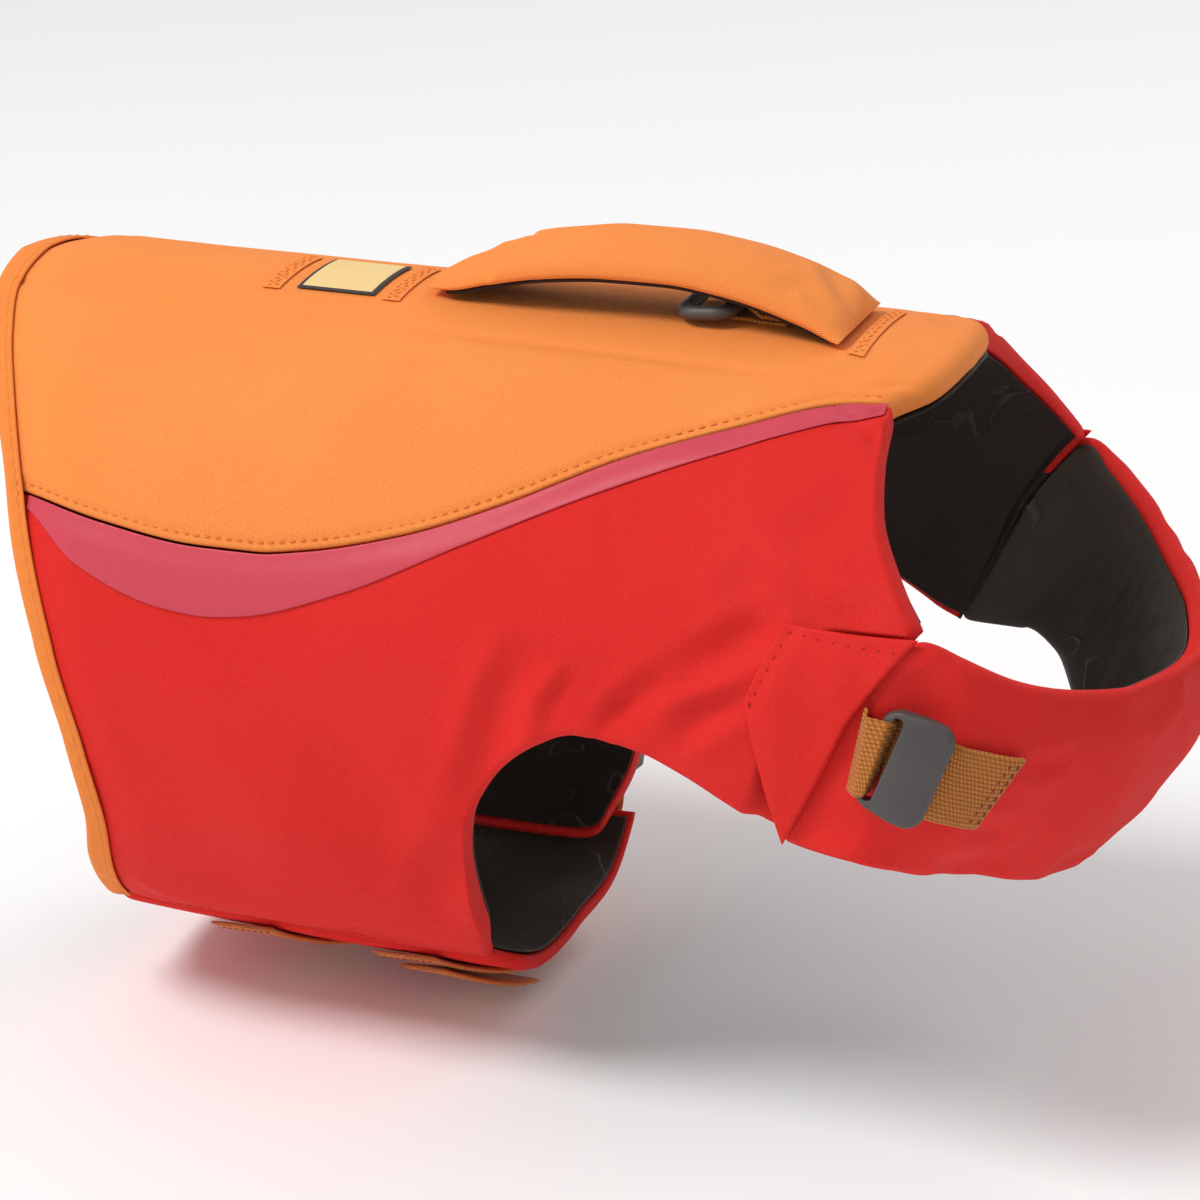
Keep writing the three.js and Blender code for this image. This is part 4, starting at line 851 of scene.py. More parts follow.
# Each straight of the section is cut in three and the corners are eased by averaging.
closed = np.concatenate([section, section[:, :1]], 1)
fine = np.concatenate([between(closed[:, :-1], closed[:, 1:], k)[:, :, None] for k in (0, 1 / 3, 2 / 3)], 2)
fine = fine.reshape(len(phi), -1, 2)
fine = .5 * fine + .25 * (np.roll(fine, 1, 1) + np.roll(fine, -1, 1))
rings = onBody(fine[..., 0], phi[:, None], fine[..., 1])
cut = travelled(np.concatenate([rings, rings[:, :1]], 1), 1)
run = travelled(rings[:, :1], 0) * np.ones(cut.shape)
tape = dress(ringsMesh("hemBinding", rings, np.stack([run, cut], -1)), "bindingTape", "binding_tape",
             ["hem_binding"])
phi = np.linspace(-149, 149, 600)
s = hemInner(phi) - binding["stitchIn"]
stitchRow("bindingStitches", *bodyPath(s, phi, panelOut(s, phi) + binding["over"] + binding["wall"] - .1),
          "orangeThread",
          "binding_tape", length=2.4, gap=1.0)
print("hem bound")

# Chest band.
chest = {
    "u": [0, .295, .54, .74, .88],
    "top": [(227, 0, -77), (220, 36.5, -75.8), (207, 62, -71), (193, 82, -63), (179, 92.5, -54.4)],
    "low": [(195.5, 0, -152), (189, 41, -144.5), (175, 72, -132.5), (162, 94.3, -124.6), (146, 102, -118.8)],
    "edgeTop": (317.2, 73.6), "edgeLow": (277, 107), "endTop": (297, 78), "endLow": (275.5, 101.5),
    "underTab": [1, 1.09, 1.17], "thick": 8, "endThick": 4.9,
    "bulgeSide": 4.5, "bulgeFront": 7.5, "axisX": 120, "mmAlong": 155, "mmDown": 76,
    "reach": 1.17, "liningReach": 1.03, "liningIn": .012, "rollWidth": 3.0,
    "creases": [
        ([(150, 8), (138, 22), (140, 40)], 7, -1.6), ([(152, 60), (138, 64), (122, 60)], 8, -1.6),
        ([(100, 20), (92, 27), (84, 24)], 4.5, -1.2), ([(103, 50), (92, 52), (80, 60)], 5, -1.3),
        ([(98, 36), (84, 38), (66, 34)], 7, -.9), ([(100, 30), (88, 18), (74, 12)], 5, -.9),
        ([(110, 66), (90, 70), (70, 68)], 6, -1.2), ([(52, 62), (38, 69), (22, 70)], 6, -1.4),
        ([(20, 56), (4, 66), (-14, 68)], 7, -1.4), ([(60, 4), (40, 9), (20, 7)], 5, -1.0),
        ([(16, 5), (-4, 10), (-24, 7)], 6, -1.0), ([(36, 20), (20, 36), (10, 54)], 12, -1.1),
        ([(-150, 10), (-138, 24), (-139, 42)], 7, -1.5), ([(-151, 62), (-138, 63), (-120, 61)], 8, -1.5),
        ([(-101, 22), (-92, 26), (-82, 25)], 4.5, -1.1), ([(-104, 49), (-93, 53), (-82, 61)], 5, -1.3),
        ([(-50, 64), (-36, 68), (-20, 70)], 6, -1.3), ([(-60, 6), (-44, 9), (-26, 8)], 5, -.9),
        ([(-34, 18), (-24, 38), (-12, 52)], 12, -1.0), ([(-108, 67), (-90, 69), (-72, 67)], 6, -1.1),
    ],
    "liningCreasesAndHighlights": [
        ([(30, 20), (10, 34), (-12, 30)], 4, 1.2), ([(60, 50), (40, 38), (24, 44)], 4, 1.1),
        ([(-30, 24), (-50, 36), (-62, 30)], 4, 1.1),
    ],
}


# Point of the band's outer face: h runs down between its upper and lower edge, bulged along the way outwards.
def chestPoint(u, h):
    u, h = np.broadcast_arrays(np.asarray(u, float), np.asarray(h, float))
    knots = []
    for share, top, low in zip(chest["u"], chest["top"], chest["low"]):
        x, y, z = (between(top[k], low[k], h) for k in range(3))
        ox, oy = x - chest["axisX"], y * .9
        bulge = (chest["bulgeSide"] + chest["bulgeFront"] * (1 - share * share)) / np.hypot(ox, oy)
        bulge = bulge * np.sin(np.pi * np.clip(h, 0, 1) ** between(.8, 1, share))
        knots.append(np.stack([x + ox * bulge, y + oy * bulge, z], -1))
    edge = [between(chest["edgeTop"][k], chest["edgeLow"][k], h) for k in (0, 1)]
    end = [between(chest["endTop"][k], chest["endLow"][k], h) for k in (0, 1)]
    for share in (0, .5, 1):
        knots.append(onBody(between(edge[0], end[0], share), between(edge[1], end[1], share),
                            shell["panelOut"]))
    places = np.array(chest["u"] + chest["underTab"])
    mirror = [knot * np.array([1, -1, 1]) for knot in knots[:0:-1]]
    columns = np.stack(mirror + knots)
    places = np.concatenate([-places[:0:-1], places])
    return np.stack([monotoneAt(places, columns[..., k], u) for k in range(3)], -1)


# The band's outward normal, from small steps along and down it.
def chestNormal(u, h):
    step, down = .01, np.where(h > .5, -.01, .01)
    point = chestPoint(u, h)
    normal = np.cross(chestPoint(u + step, h) - point,
                      (chestPoint(u, h + down) - point) * np.sign(down)[..., None])
    normal /= np.linalg.norm(normal, axis=-1, keepdims=True)
    outwards = (point - np.array([chest["axisX"], 0, 0])) * np.array([1, 1, 0])
    return normal * np.where((normal * outwards).sum(-1) < 0, -1, 1)[..., None]


def bandThick(u):
    return between(chest["thick"], chest["endThick"], softStep(.86, .98, np.abs(u)))


def bandCut(u, h):
    return np.stack([u * chest["mmAlong"], h * chest["mmDown"]], -1)


def chestRelief(u, h):
    x, y = u * chest["mmAlong"], h * chest["mmDown"]
    edges = np.minimum(h, 1 - h) * chest["mmDown"]
    lumps = foamLumps(x * 1.1 + 9, y * 1.3, .55)
    scallop = -.7 * np.exp(-(edges / 9) ** 2) * (.5 + .5 * np.sin(x / 4.1 + 1.7 * np.sin(x / 15)))
    calm = 1 - softStep(.96, 1.0, np.abs(u))
    return (lumps + scallop + 1.3 * creaseField(x, y, chest["creases"])) * calm


u, h = np.meshgrid(np.concatenate([[-1.17, -1.165, -1.155], np.linspace(-1.14, 1.14, 250),
                                   [1.155, 1.165, 1.17]]),
                   crowded(62, .05, 6), indexing="ij")
point, normal = chestPoint(u, h), chestNormal(u, h)
gapDown = travelled(point, 1)
share = roundRim(gapDown, 4.6) * roundRim(gapDown[:, -1:] - gapDown,
                                          4.6) * roundRim((chest["reach"] - np.abs(u)) * chest["mmAlong"], 2)
innerShare = roundRim(gapDown, 3.2) * roundRim(gapDown[:, -1:] - gapDown,
                                               3.2) * roundRim((chest["reach"] - np.abs(u))
                                                               * chest["mmAlong"], 2)
thick = bandThick(u)
relief = chestRelief(u, h)
middle = -thick * .5
outer = point + normal * between(middle, relief, share)[..., None]
inner = point + normal * between(middle, -thick, innerShare)[..., None]
cut = bandCut(u, h)
band = dress(shellMesh("chestPanel", outer, inner, cut), "sideCloth", "side_cloth", ["chest_panel"])

# Lining of the band: wrinkled, and rolled a little over the upper edge, where it shows from outside.
u, h = np.meshgrid(chest["liningReach"] * np.linspace(-1, 1, 200),
                   np.linspace(chest["liningIn"], 1 - chest["liningIn"], 60), indexing="ij")
point, normal = chestPoint(u, h), chestNormal(u, h)
thick = bandThick(u)
wrinkle = .5 * np.sin(u * 61 + 2 * np.sin(h * 9)) * np.sin(h * 7 + u * 11) + .35 * np.sin(u * 117 + h * 5)
wrinkle = wrinkle * np.sin(np.pi * h) + creaseField(u * chest["mmAlong"], h * chest["mmDown"],
                                                    chest["liningCreasesAndHighlights"])
roll = 1.4 * np.exp(-(h * chest["mmDown"] / chest["rollWidth"]) ** 2) + 1.0 * np.exp(-((1 - h)
        * chest["mmDown"] / chest["rollWidth"]) ** 2)
base = -thick - .7 - wrinkle * .6 - .5 + roll * .5
rim = roundRim(np.minimum(h - chest["liningIn"], 1 - chest["liningIn"] - h) * chest["mmDown"],
               .8) * roundRim((chest["liningReach"] - np.abs(u)) * chest["mmAlong"], .8)
outer, inner = point + normal * (base + .2 + .3 * rim)[...,
                                                       None], point + normal * (base + .2 - .4 * rim)[...,
                                                               None]
cut = bandCut(u, h)
bandLining = dress(shellMesh("chestLining", outer, inner, cut), "liningPale", "lining_cloth",
                   ["lining_chest"])
print("chest made")

# Webbing and plastic fittings.
strap = {"width": 25, "thick": 1.8, "around": 28, "lift": .5}


# Flat band along frames (point, along, across, normal): a rounded-edge section carried along, closed at both ends.
def ribbonMesh(name, point, along, across, normal, halfWidth, thick, lift, skew=0, finish="webbing",
               slotName="webbing", nodes=(), body="jacket"):
    angle = np.linspace(0, 2 * np.pi, strap["around"] + 1)[:-1]
    w = np.sign(np.cos(angle)) * np.abs(np.cos(angle)) ** .3
    t = np.sign(np.sin(angle)) * np.abs(np.sin(angle)) ** .55
    selvedge = 1 + .12 * np.exp(-((np.abs(w) - .9) / .08) ** 2)
    halfWidth, lift = np.broadcast_to(halfWidth, len(point)), np.broadcast_to(lift, len(point))
    skew = np.broadcast_to(skew, len(point))
    ends = np.ones(len(point))
    ends[[0, -1]] = .55
    rings = point[:, None] + across[:, None] * (w * halfWidth[:, None])[..., None]
    rings = rings + along[:, None] * (w * skew[:, None])[..., None]
    rings = rings + normal[:, None] * (lift[:, None] + thick / 2 + thick / 2 * t * selvedge
                                       * ends[:, None])[..., None]
    gone = travelled(point, 0)
    wide = np.concatenate([w, w[:1]]) * halfWidth[:, None]
    cut = np.stack([gone[:, None] + 0 * wide, wide], -1)
    return dress(ringsMesh(name, rings, cut), finish, slotName, nodes, body)


def unit(v):
    return v / np.linalg.norm(v, axis=-1, keepdims=True)


chestStrap = {
    "path": [(.985, .555), (.93, .5), (.873, .468), (.784, .482), (.674, .48)], "sewnSkew": 3,
    "loopStart": .1, "loopSkew": 3.6,
    "sliderAt": .45, "sliderLift": 2.8,
}


# Place (u, h) of the strap on the band, at share t of its way from the tab to the sewn end.
def strapPlace(t, hand):
    knots = np.linspace(0, 1, len(chestStrap["path"]))
    u, h = (monotoneAt(knots, column, t) for column in np.array(chestStrap["path"]).T)
    return hand * u, h


def strapFrames(t, hand):
    at = lambda share: strapPlace(share, hand)
    point, normal = chestPoint(*at(t)), chestNormal(*at(t))
    along = unit(chestPoint(*at(t + .02)) - chestPoint(*at(t - .02)))
    across = unit(np.cross(along, normal))
    return point, along, across * np.where(across[:, 2:] < 0, -1, 1), normal


slider = {"length": 22, "width": 33, "thick": 5, "slot": (-8, -4.6), "slotHalf": 13, "corner": 5.5,
          "bevel": 1.5, "dome": 3.4}


# Outline of a rectangle with round corners as points evenly spread round it, from corner arcs and straight sides.
def roundedOutline(x0, y0, x1, y1, r, count):
    arc = np.linspace(0, np.pi / 2, 9)
    centres = [(x1 - r, y1 - r, 0), (x0 + r, y1 - r, .5), (x0 + r, y0 + r, 1), (x1 - r, y0 + r, 1.5)]
    corner = [np.stack([cx + r * np.cos(arc + np.pi * k), cy + r * np.sin(arc + np.pi * k)], -1) for cx, cy,
              k in centres]
    return evenly(np.concatenate(corner), count)


def evenly(outline, count):
    loop = np.concatenate([outline, outline[:1]])
    gone = travelled(loop, 0)
    at = np.linspace(0, gone[-1], count + 1)[:-1]
    return np.stack([np.interp(at, gone, loop[:, k]) for k in range(2)], -1)


# Moulded plate with a slot: rings run from the slot's wall over the domed top, round the rim and back under it.
def slottedPlate(name, outline, slot, frameRow, lift, thick, bevel, dome, nodes, curve=0.0):
    point, along, normal = frameRow
    across = np.cross(normal, along)
    x0, x1, half = slot
    centre = np.array([(x0 + x1) / 2, 0])
    toEdge = outline - centre
    hole = roundedOutline(x0, -half, x1, half, 1.4, 400)
    holeAngle = np.arctan2(*(hole - centre).T[::-1])
    order = np.argsort(holeAngle)
    angle = np.arctan2(toEdge[:, 1], toEdge[:, 0])
    reach = np.interp(angle, holeAngle[order], np.linalg.norm(hole - centre, axis=1)[order], period=2 * np.pi)
    inner = centre + reach[:, None] * toEdge / np.linalg.norm(toEdge, axis=1)[:, None]
    length = np.ptp(outline[:, 0])
    rows, heights = [], []
    turn, lipShare = np.linspace(0, np.pi / 2, 5), .6
    gap = np.linalg.norm(outline - inner, axis=1)[:, None]
    inset = np.minimum(bevel, gap * .4)

    def widthShare(flat):
        return np.abs(flat[:, 1]) / np.abs(outline[:, 1]).max()

    def crown(flat):
        share = np.clip((flat[:, 0] - outline[:, 0].min()) / length, 0, 1)
        width = widthShare(flat)
        return dome * (np.sin(np.pi * np.clip(share * .8 + .12, 0, 1)) ** .8
                       * (1 - .35 * width ** 3) - .45) + curve * width ** 2

    pull = unit(inner - outline)
    for a in turn:  # slot's upper lip
        flat = inner - pull * inset * lipShare * (1 - np.cos(a))
        rows.append(flat)
        heights.append(thick + crown(flat) - bevel * lipShare * (1 - np.sin(a)))
    for share in np.linspace(0, 1, 12)[1:-1]:
        flat = between(inner - pull * inset * lipShare, outline + pull * inset, share)
        rows.append(flat)
        heights.append(thick + crown(flat))
    for a in turn:  # outer rim, top then bottom
        flat = outline + pull * inset * (1 - np.sin(a))
        rows.append(flat)
        heights.append(thick + crown(flat) - bevel * (1 - np.cos(a)))
    for a in turn:
        flat = outline + pull * inset * lipShare * (1 - np.cos(a))
        rows.append(flat)
        heights.append(bevel * lipShare * (1 - np.sin(a)) + curve * widthShare(flat) ** 2)
    rows.append(inner)
    heights.append(np.zeros(len(inner)))
    flat, height = np.stack(rows), np.stack(heights)
    rings = point + flat[..., :1] * along + flat[..., 1:] * across + (height + lift)[..., None] * normal
    uv = np.concatenate([flat, flat[:, :1]], 1)
    uv = np.concatenate([uv, uv[:1]], 0)
    return dress(ringsMesh(name, rings, uv, looped=True), "moulded", "moulded_plastic", nodes)


for sideName, hand in (("right", -1), ("left", 1)):
    t = np.linspace(.3, 1, 60)
    frames = strapFrames(t, hand)
    swell = chestRelief(*strapPlace(t, hand))
    settle = strap["lift"] + np.maximum(swell, -.3) * .5 - .35 * softStep(.9, 1, t)
    ribbonMesh(f"chestWebbing_{sideName}", *frames, strap["width"] / 2, strap["thick"], settle,
               skew=chestStrap["sewnSkew"] * softStep(.8, 1, t), nodes=[f"chest_webbing_{sideName}"])
    # Sewn end: two rows of stitches across the webbing.
    for row, share in (("end", .975), ("inner", .93)):
        point, along, across, normal = (f[0] for f in strapFrames(np.array([share]), hand))
        w = np.linspace(-1, 1, 12)[:, None] * (strap["width"] / 2 - 1.6)
        slant = chestStrap["sewnSkew"] * w / 12.5
        path = point + across * w + along * slant + normal * (strap["lift"] + strap["thick"])
        stitchRow(f"webbingStitches_{row}_{sideName}", path, np.repeat(normal[None], 12, 0), "darkThread",
                  "webbing",
                  length=1.7, gap=.8, radius=.3)
    point, along, across, normal = (f[0] for f in strapFrames(np.array([chestStrap["sliderAt"]]), hand))
    outline = roundedOutline(-slider["length"] / 2, -slider["width"] / 2, slider["length"] / 2,
                             slider["width"] / 2, slider["corner"], 132)
    squeeze = 1 - .09 * softStep(4, -11,
                                 outline[:, 0])  # its rear bar is a little narrower than its domed front
    outline = outline * np.stack([np.ones(132), squeeze], -1)
    slottedPlate(f"slider_{sideName}", outline, (*slider["slot"], slider["slotHalf"]), (point, along, normal),
                 chestStrap["sliderLift"], slider["thick"] - 1.1, slider["bevel"], slider["dome"],
                 [f"slider_{sideName}"])
    # Loop of webbing from under the tab up round the slider's rear bar.
    start = [f[0] for f in strapFrames(np.array([chestStrap["loopStart"]]), hand)]
    t = np.linspace(0, 1, 26)[:, None]
    finish = point - along * 6.2
    path = between(start[0], finish, t)
    lift = between(.8, chestStrap["sliderLift"] + 4.5, softStep(0, .45, t[:, 0])) - 5.2 * softStep(.82, 1,
            t[:, 0])
    ribbonMesh(f"sliderLoop_{sideName}", path, unit(between(start[1], along, t)),
               unit(between(start[2], across, t)),
               unit(between(start[3], normal, t)),
               between(strap["width"] / 2, strap["width"] / 2 - .8, t[:, 0]),
               strap["thick"] * .9, lift, skew=chestStrap["loopSkew"] * (1 - softStep(0, .5, t[:, 0])),
               nodes=[f"slider_loop_{sideName}"])
print("chest strap made")

# Belly, its straps and buckles.
belly = {
    "near": -28.7, "far": 38, "rear": 36, "front": 174, "frontCut": 7.5, "thick": 5, "overlapOut": 9.6,
    "creases": [
        ([(170, -20), (150, -8), (120, -12)], 6, -1.0), ([(168, 10), (140, 4), (118, 14)], 7, -1.0),
        ([(60, -20), (80, -6), (112, -16)], 7, -.9), ([(50, 14), (70, 24), (100, 12)], 6, -.9),
    ],
}
beltStraps = {
    "rear": {"nearS": 80, "midS": 98}, "front": {"nearS": 136, "midS": 155},
    "straightFrom": -8, "end": 45.3, "anchorFrom": 69.5, "anchorTo": 86, "tailFrom": -23, "tailTo": -4,
    "tailDrop": 5,
}
buckle = {"at": 58, "socket": 27, "tongue": 21, "width": 32, "thick": 9, "notch": 3.2, "neck": 25}


# beta turns from the middle of the belly, positive to the left; the far edge climbs over the left side panel.
def bellyBase(beta):
    return belly["overlapOut"] * softStep(6, 29, beta)


def onBelly(s, beta, out):
    return onBody(s, 180 - beta, bellyBase(beta) + out)


def bellyGrid(us, betas):
    u, beta = np.meshgrid(us, betas, indexing="ij")
    front = belly["front"] - belly["frontCut"] * (1 - softStep(belly["near"], belly["near"] + 8, beta))
    return between(belly["rear"], front, u), beta


s, beta = bellyGrid(crowded(84, .03), between(belly["near"], belly["far"], crowded(66, .03)))
flat = onBelly(s, beta, shell["panelIn"])
alongU, alongV = travelled(flat, 0), travelled(flat, 1)
relief = creaseField(s, beta, belly["creases"], creaseScale) + foamLumps(s,
        beta * bodyTable["roughMmPerDegree"], .25)
outerShare, innerShare = 1.0, 1.0
for gap in (alongU, alongU[-1:] - alongU, alongV, alongV[:, -1:] - alongV):
    outerShare, innerShare = outerShare * roundRim(gap, 3.4), innerShare * roundRim(gap, 1.2)
level = shell["panelIn"] + belly["thick"] * .3
outer = onBelly(s, beta, between(level, shell["panelIn"] + belly["thick"] + relief, outerShare))
inner = onBelly(s, beta, between(level, shell["panelIn"], innerShare))
cut = cutPlace(s, beta)
bellyPanel = dress(shellMesh("bellyPanel", outer, inner, cut), "sideCloth", "side_cloth", ["belly_panel"])
s, beta = bellyGrid(between(.012, .99, crowded(60, .02, 4)),
                    between(belly["near"] + .8, belly["far"] - 1.6, crowded(50, .02, 4)))
sag = liningSag(s, beta) * 1.1 - .25
rim = roundRim(np.minimum(s - s.min(0), s.max(0) - s),
               .8) * roundRim(np.minimum(beta - beta.min(), beta.max() - beta)
                              * bodyTable["roughMmPerDegree"], .8)
cut = cutPlace(s, beta)
bellyLining = shellMesh("bellyLining", onBelly(s, beta, sag + .5 + .4 * rim),
                        onBelly(s, beta, sag + .5 - .4 * rim), cut)
dress(bellyLining, "liningPale", "lining_cloth", ["lining_belly"])


# Frames on the outside of the belly panel and, past its far edge, of the left side panel.
def underFrames(nearS, midS, beta):
    run = lambda b: between(nearS, midS, softStep(belly["near"], beltStraps["straightFrom"], b))

    def at(b, o):
        past = softStep(belly["far"] + 1.4, belly["far"] + 8, b)
        over = between(shell["panelIn"] + belly["thick"],
                       panelOut(run(beta), 180 - b) - belly["overlapOut"], past)
        return onBody(run(beta), 180 - b, bellyBase(b) + over + o)

    point, normal = at(beta, 0), unit(at(beta, 1) - at(beta, 0))
    along = at(beta + 1, 0) - at(beta - 1, 0)
    along[:, 0] += 2 * (run(beta + 1) - run(beta))
    along = unit(along)
    across = unit(np.cross(along, normal))
    return point, along, across, np.cross(across, along)


for rowName, hasTail in (("rear", False), ("front", True)):
    nearS, midS = beltStraps[rowName]["nearS"], beltStraps[rowName]["midS"]
    beta = np.linspace(belly["near"] + 1.2, beltStraps["end"], 70)
    ribbonMesh(f"bellyStrap_{rowName}", *underFrames(nearS, midS, beta), strap["width"] / 2, strap["thick"],
               strap["lift"],
               finish="beltWebbing", nodes=[f"belly_strap_{rowName}"])
    beta = np.linspace(beltStraps["anchorFrom"], beltStraps["anchorTo"], 20)
    ribbonMesh(f"bellyAnchor_{rowName}", *underFrames(nearS, midS, beta), strap["width"] / 2,
               strap["thick"], strap["lift"],
               finish="beltWebbing", nodes=[f"belly_anchor_{rowName}"])
    if hasTail:
        beta = np.linspace(beltStraps["tailFrom"], beltStraps["tailTo"], 24)
        drop = strap["lift"] + strap["thick"] + .8 + beltStraps["tailDrop"] * np.linspace(0, 1, 24) ** 2
        ribbonMesh("bellyStrapTail", *underFrames(nearS, midS, beta), strap["width"] / 2, strap["thick"],
                   drop,
                   finish="beltWebbing", nodes=["belly_strap_tail"])
    # A row of stitches across the anchor and another where the strap leaves the near seam.
    for part, at in (("anchor", beltStraps["anchorTo"] - 1.6), ("near", belly["near"] + 2.4)):
        point, along, across, normal = (f[0] for f in underFrames(nearS, midS, np.array([float(at)])))
        w = np.linspace(-1, 1, 12)[:, None] * (strap["width"] / 2 - 1.6)
        path = point + across * w + normal * (strap["lift"] + strap["thick"])
        stitchRow(f"beltStitches_{part}_{rowName}", path, np.repeat(normal[None], 12, 0), "darkThread",
                  "webbing",
                  length=1.7, gap=.8, radius=.3)
    # Side-release buckle, fastened: a notched socket and the tongue's frame, each a domed plate with its webbing slot.
    point, along, across, normal = (f[0] for f in underFrames(nearS, midS, np.array([float(buckle["at"])])))
    w, n = buckle["width"] / 2, buckle["neck"] / 2
    end = buckle["socket"] - (buckle["socket"] + buckle["tongue"]) / 2
    start, finish = end - buckle["socket"], end + buckle["tongue"]
    half = [(start, -w + 2), (start + 2, -w), (start + 12, -w), (start + 15, -w + buckle["notch"]),
            (end - 3, -w + buckle["notch"]), (end, -w)]
    socket = np.array(half + [(x, -y) for x, y in half[::-1]])
    half = [(end + .3, -w + 1), (end + 4.3, -w), (finish - 2, -n - 2), (finish, -n)]
    tongue = np.array(half + [(x, -y) for x, y in half[::-1]])
    slotHalf = strap["width"] / 2 + .5
    slottedPlate(f"buckleSocket_{rowName}", evenly(socket, 150), (start + 3, start + 6.5, slotHalf),
                 (point, along, normal),
                 strap["lift"], buckle["thick"] - 1, 1.5, 1.6, [f"buckle_socket_{rowName}"])
    slottedPlate(f"buckleTongue_{rowName}", evenly(tongue, 150), (finish - 6.5, finish - 3, n - 1),
                 (point, along, normal),
                 strap["lift"] + .6, buckle["thick"] - 2.5, 1.5, 1.4, [f"buckle_tongue_{rowName}"])
print("belly made")

# Handle, label and ring.
handle = {
    "x": [-17, -8, 4, 20, 42, 62, 82, 100, 111, 116.5, 118.5],
    "z": [12.6, 15.8, 20.6, 25.2, 28.2, 28.6, 26.4, 22, 17.6, 13.6, 11.9],
    "half": [12, 15, 16.5, 17.5, 18, 18, 18, 18.5, 19.5, 20.5, 21],
    "thick": [1.5, 3.6, 4.8, 5.6, 6, 6, 6, 5.8, 4.8, 3, 1.5],
    "seamX": 11.7, "seamBow": .024, "seamDip": 1.2, "rows": 150, "around": 64,
    "tacks": {"tack_rear": (-67, 6, 17), "tack_middle": (-27, 6, 17), "tack_front": (123.5, 5, 21)},
    "tackThick": .9, "label": (-59, -33, 15, .8), "liningThick": 1,
    "creases": [
        ([(104, 14), (110, 2), (116, -8)], 4, -1.3), ([(96, -17), (103, -10), (114, -16)], 3.5, -1.0),
        ([(24, 16), (28, 4), (23, -12)], 8, -.3), ([(66, 10), (70, 0), (65, -14)], 9, -.3),
        ([(-6, 8), (-2, 0), (-7, -9)], 3, -.8),
    ],
}
knots = np.arange(len(handle["x"]))
place = np.linspace(0, knots[-1], handle["rows"])
hx, hz, hHalf, hThick = (monotoneAt(knots, handle[k], place) for k in ("x", "z", "half", "thick"))
tilt = np.clip(np.arctan2(np.gradient(hz), np.gradient(hx)), -.9, .9)
tilt = np.convolve(np.pad(tilt, 4, "edge"), np.ones(9) / 9, "valid")


# Point of the handle at width w and height t over its middle line, leaned with the line's slope.
def onHandle(w, t, rows=slice(None)):
    x = hx[rows, None] - t * np.sin(tilt[rows, None])
    z = hz[rows, None] + t * np.cos(tilt[rows, None])
    return np.stack([x + 0 * w, w + 0 * t, z + 0 * w], -1)


angle = np.linspace(0, np.pi, 44)
w = hHalf[:, None] * np.cos(angle)
t = hThick[:, None] * (1.8 * np.sin(angle) ** .7 - 1)
overX = hx[:, None] - t * np.sin(tilt[:, None])
seam = overX - handle["seamX"] + handle["seamBow"] * w * w
onTop = softStep(0, .25, np.sin(angle))
rear = 1 - softStep(-2.5, .5, seam)  # the rear end is a narrower piece let into the tube
t = t - onTop * (handle["seamDip"] * np.exp(-(seam / 1.1) ** 2) + rear * .7)
w = w * (1 - .05 * rear)
pinch = creaseField(overX, w, handle["creases"])
t = t + onTop * (pinch + foamLumps(overX * .7, w, .12)) * np.minimum(1, hThick[:, None] / 4)
under = np.linspace(-1, 1, 22)[1:-1]
lowW = hHalf[:, None] * .93 * under
lowT = -hThick[:, None] * (.95 + .12 * (1 - under ** 4)) + 0 * lowW
rings = np.concatenate([onHandle(w, t), onHandle(lowW, lowT)], 1)
cutW = travelled(np.concatenate([rings, rings[:, :1]], 1), 1)
grip = dress(ringsMesh("handleGrip", rings, np.stack([hx[:, None] + 0 * cutW, cutW], -1)), "backCloth",
             "back_cloth", ["handle"])

# Dark lining sewn flat under the grip; its near edge shows as a thin dark line.
rows = slice(9, -14)
half = hHalf[rows] * .9
w = np.concatenate([np.linspace(-1, 1, 16), np.linspace(1, -1, 16)]) * half[:, None]
drop = np.concatenate([np.zeros(16), np.full(16, handle["liningThick"])])
t = -hThick[rows, None] * 1.07 - .25 - drop + 0 * w
rings = onHandle(w, t, rows)
cutW = travelled(np.concatenate([rings, rings[:, :1]], 1), 1)
liner = dress(ringsMesh("handleLining", rings, np.stack([hx[rows, None] + 0 * cutW, cutW], -1)),
              "liningCloth", "lining_cloth", ["handle_lining"])


# Thin strip lying over the spine on the back panel, with a rounded rim.
def backStrip(name, rear, front, half, thick, finish, slotName, nodes=(), over=.3, lift=0.0):
    x, y = np.meshgrid(between(rear, front, crowded(24, .03, 4)), half * (crowded(36, .02, 4) * 2 - 1),
                       indexing="ij")
    s, phi = x + bodyTable["originS"], y / bodyTable["spineMmPerDegree"]
    rim = roundRim(np.minimum(x - rear, front - x), .5) * roundRim(half - np.abs(y), .5)
    base = backOut(s, phi) + over + lift
    outer, inner = onBody(s, phi, base + thick * (.5 + .5 * rim)), onBody(s, phi,
            base + thick * (.5 - .5 * rim))
    return dress(shellMesh(name, outer, inner, np.stack([x, y], -1)), finish, slotName, nodes)


def stripStitches(name, corners, lift, finish, slotName, **kw):
    loop = np.array(corners, float)
    gone = travelled(loop, 0)
    at = np.linspace(0, gone[-1], 160)
    x, y = np.interp(at, gone, loop[:, 0]), np.interp(at, gone, loop[:, 1])
    s, phi = x + bodyTable["originS"], y / bodyTable["spineMmPerDegree"]
    stitchRow(name, *bodyPath(s, phi, backOut(s, phi) + lift), finish, slotName, **kw)


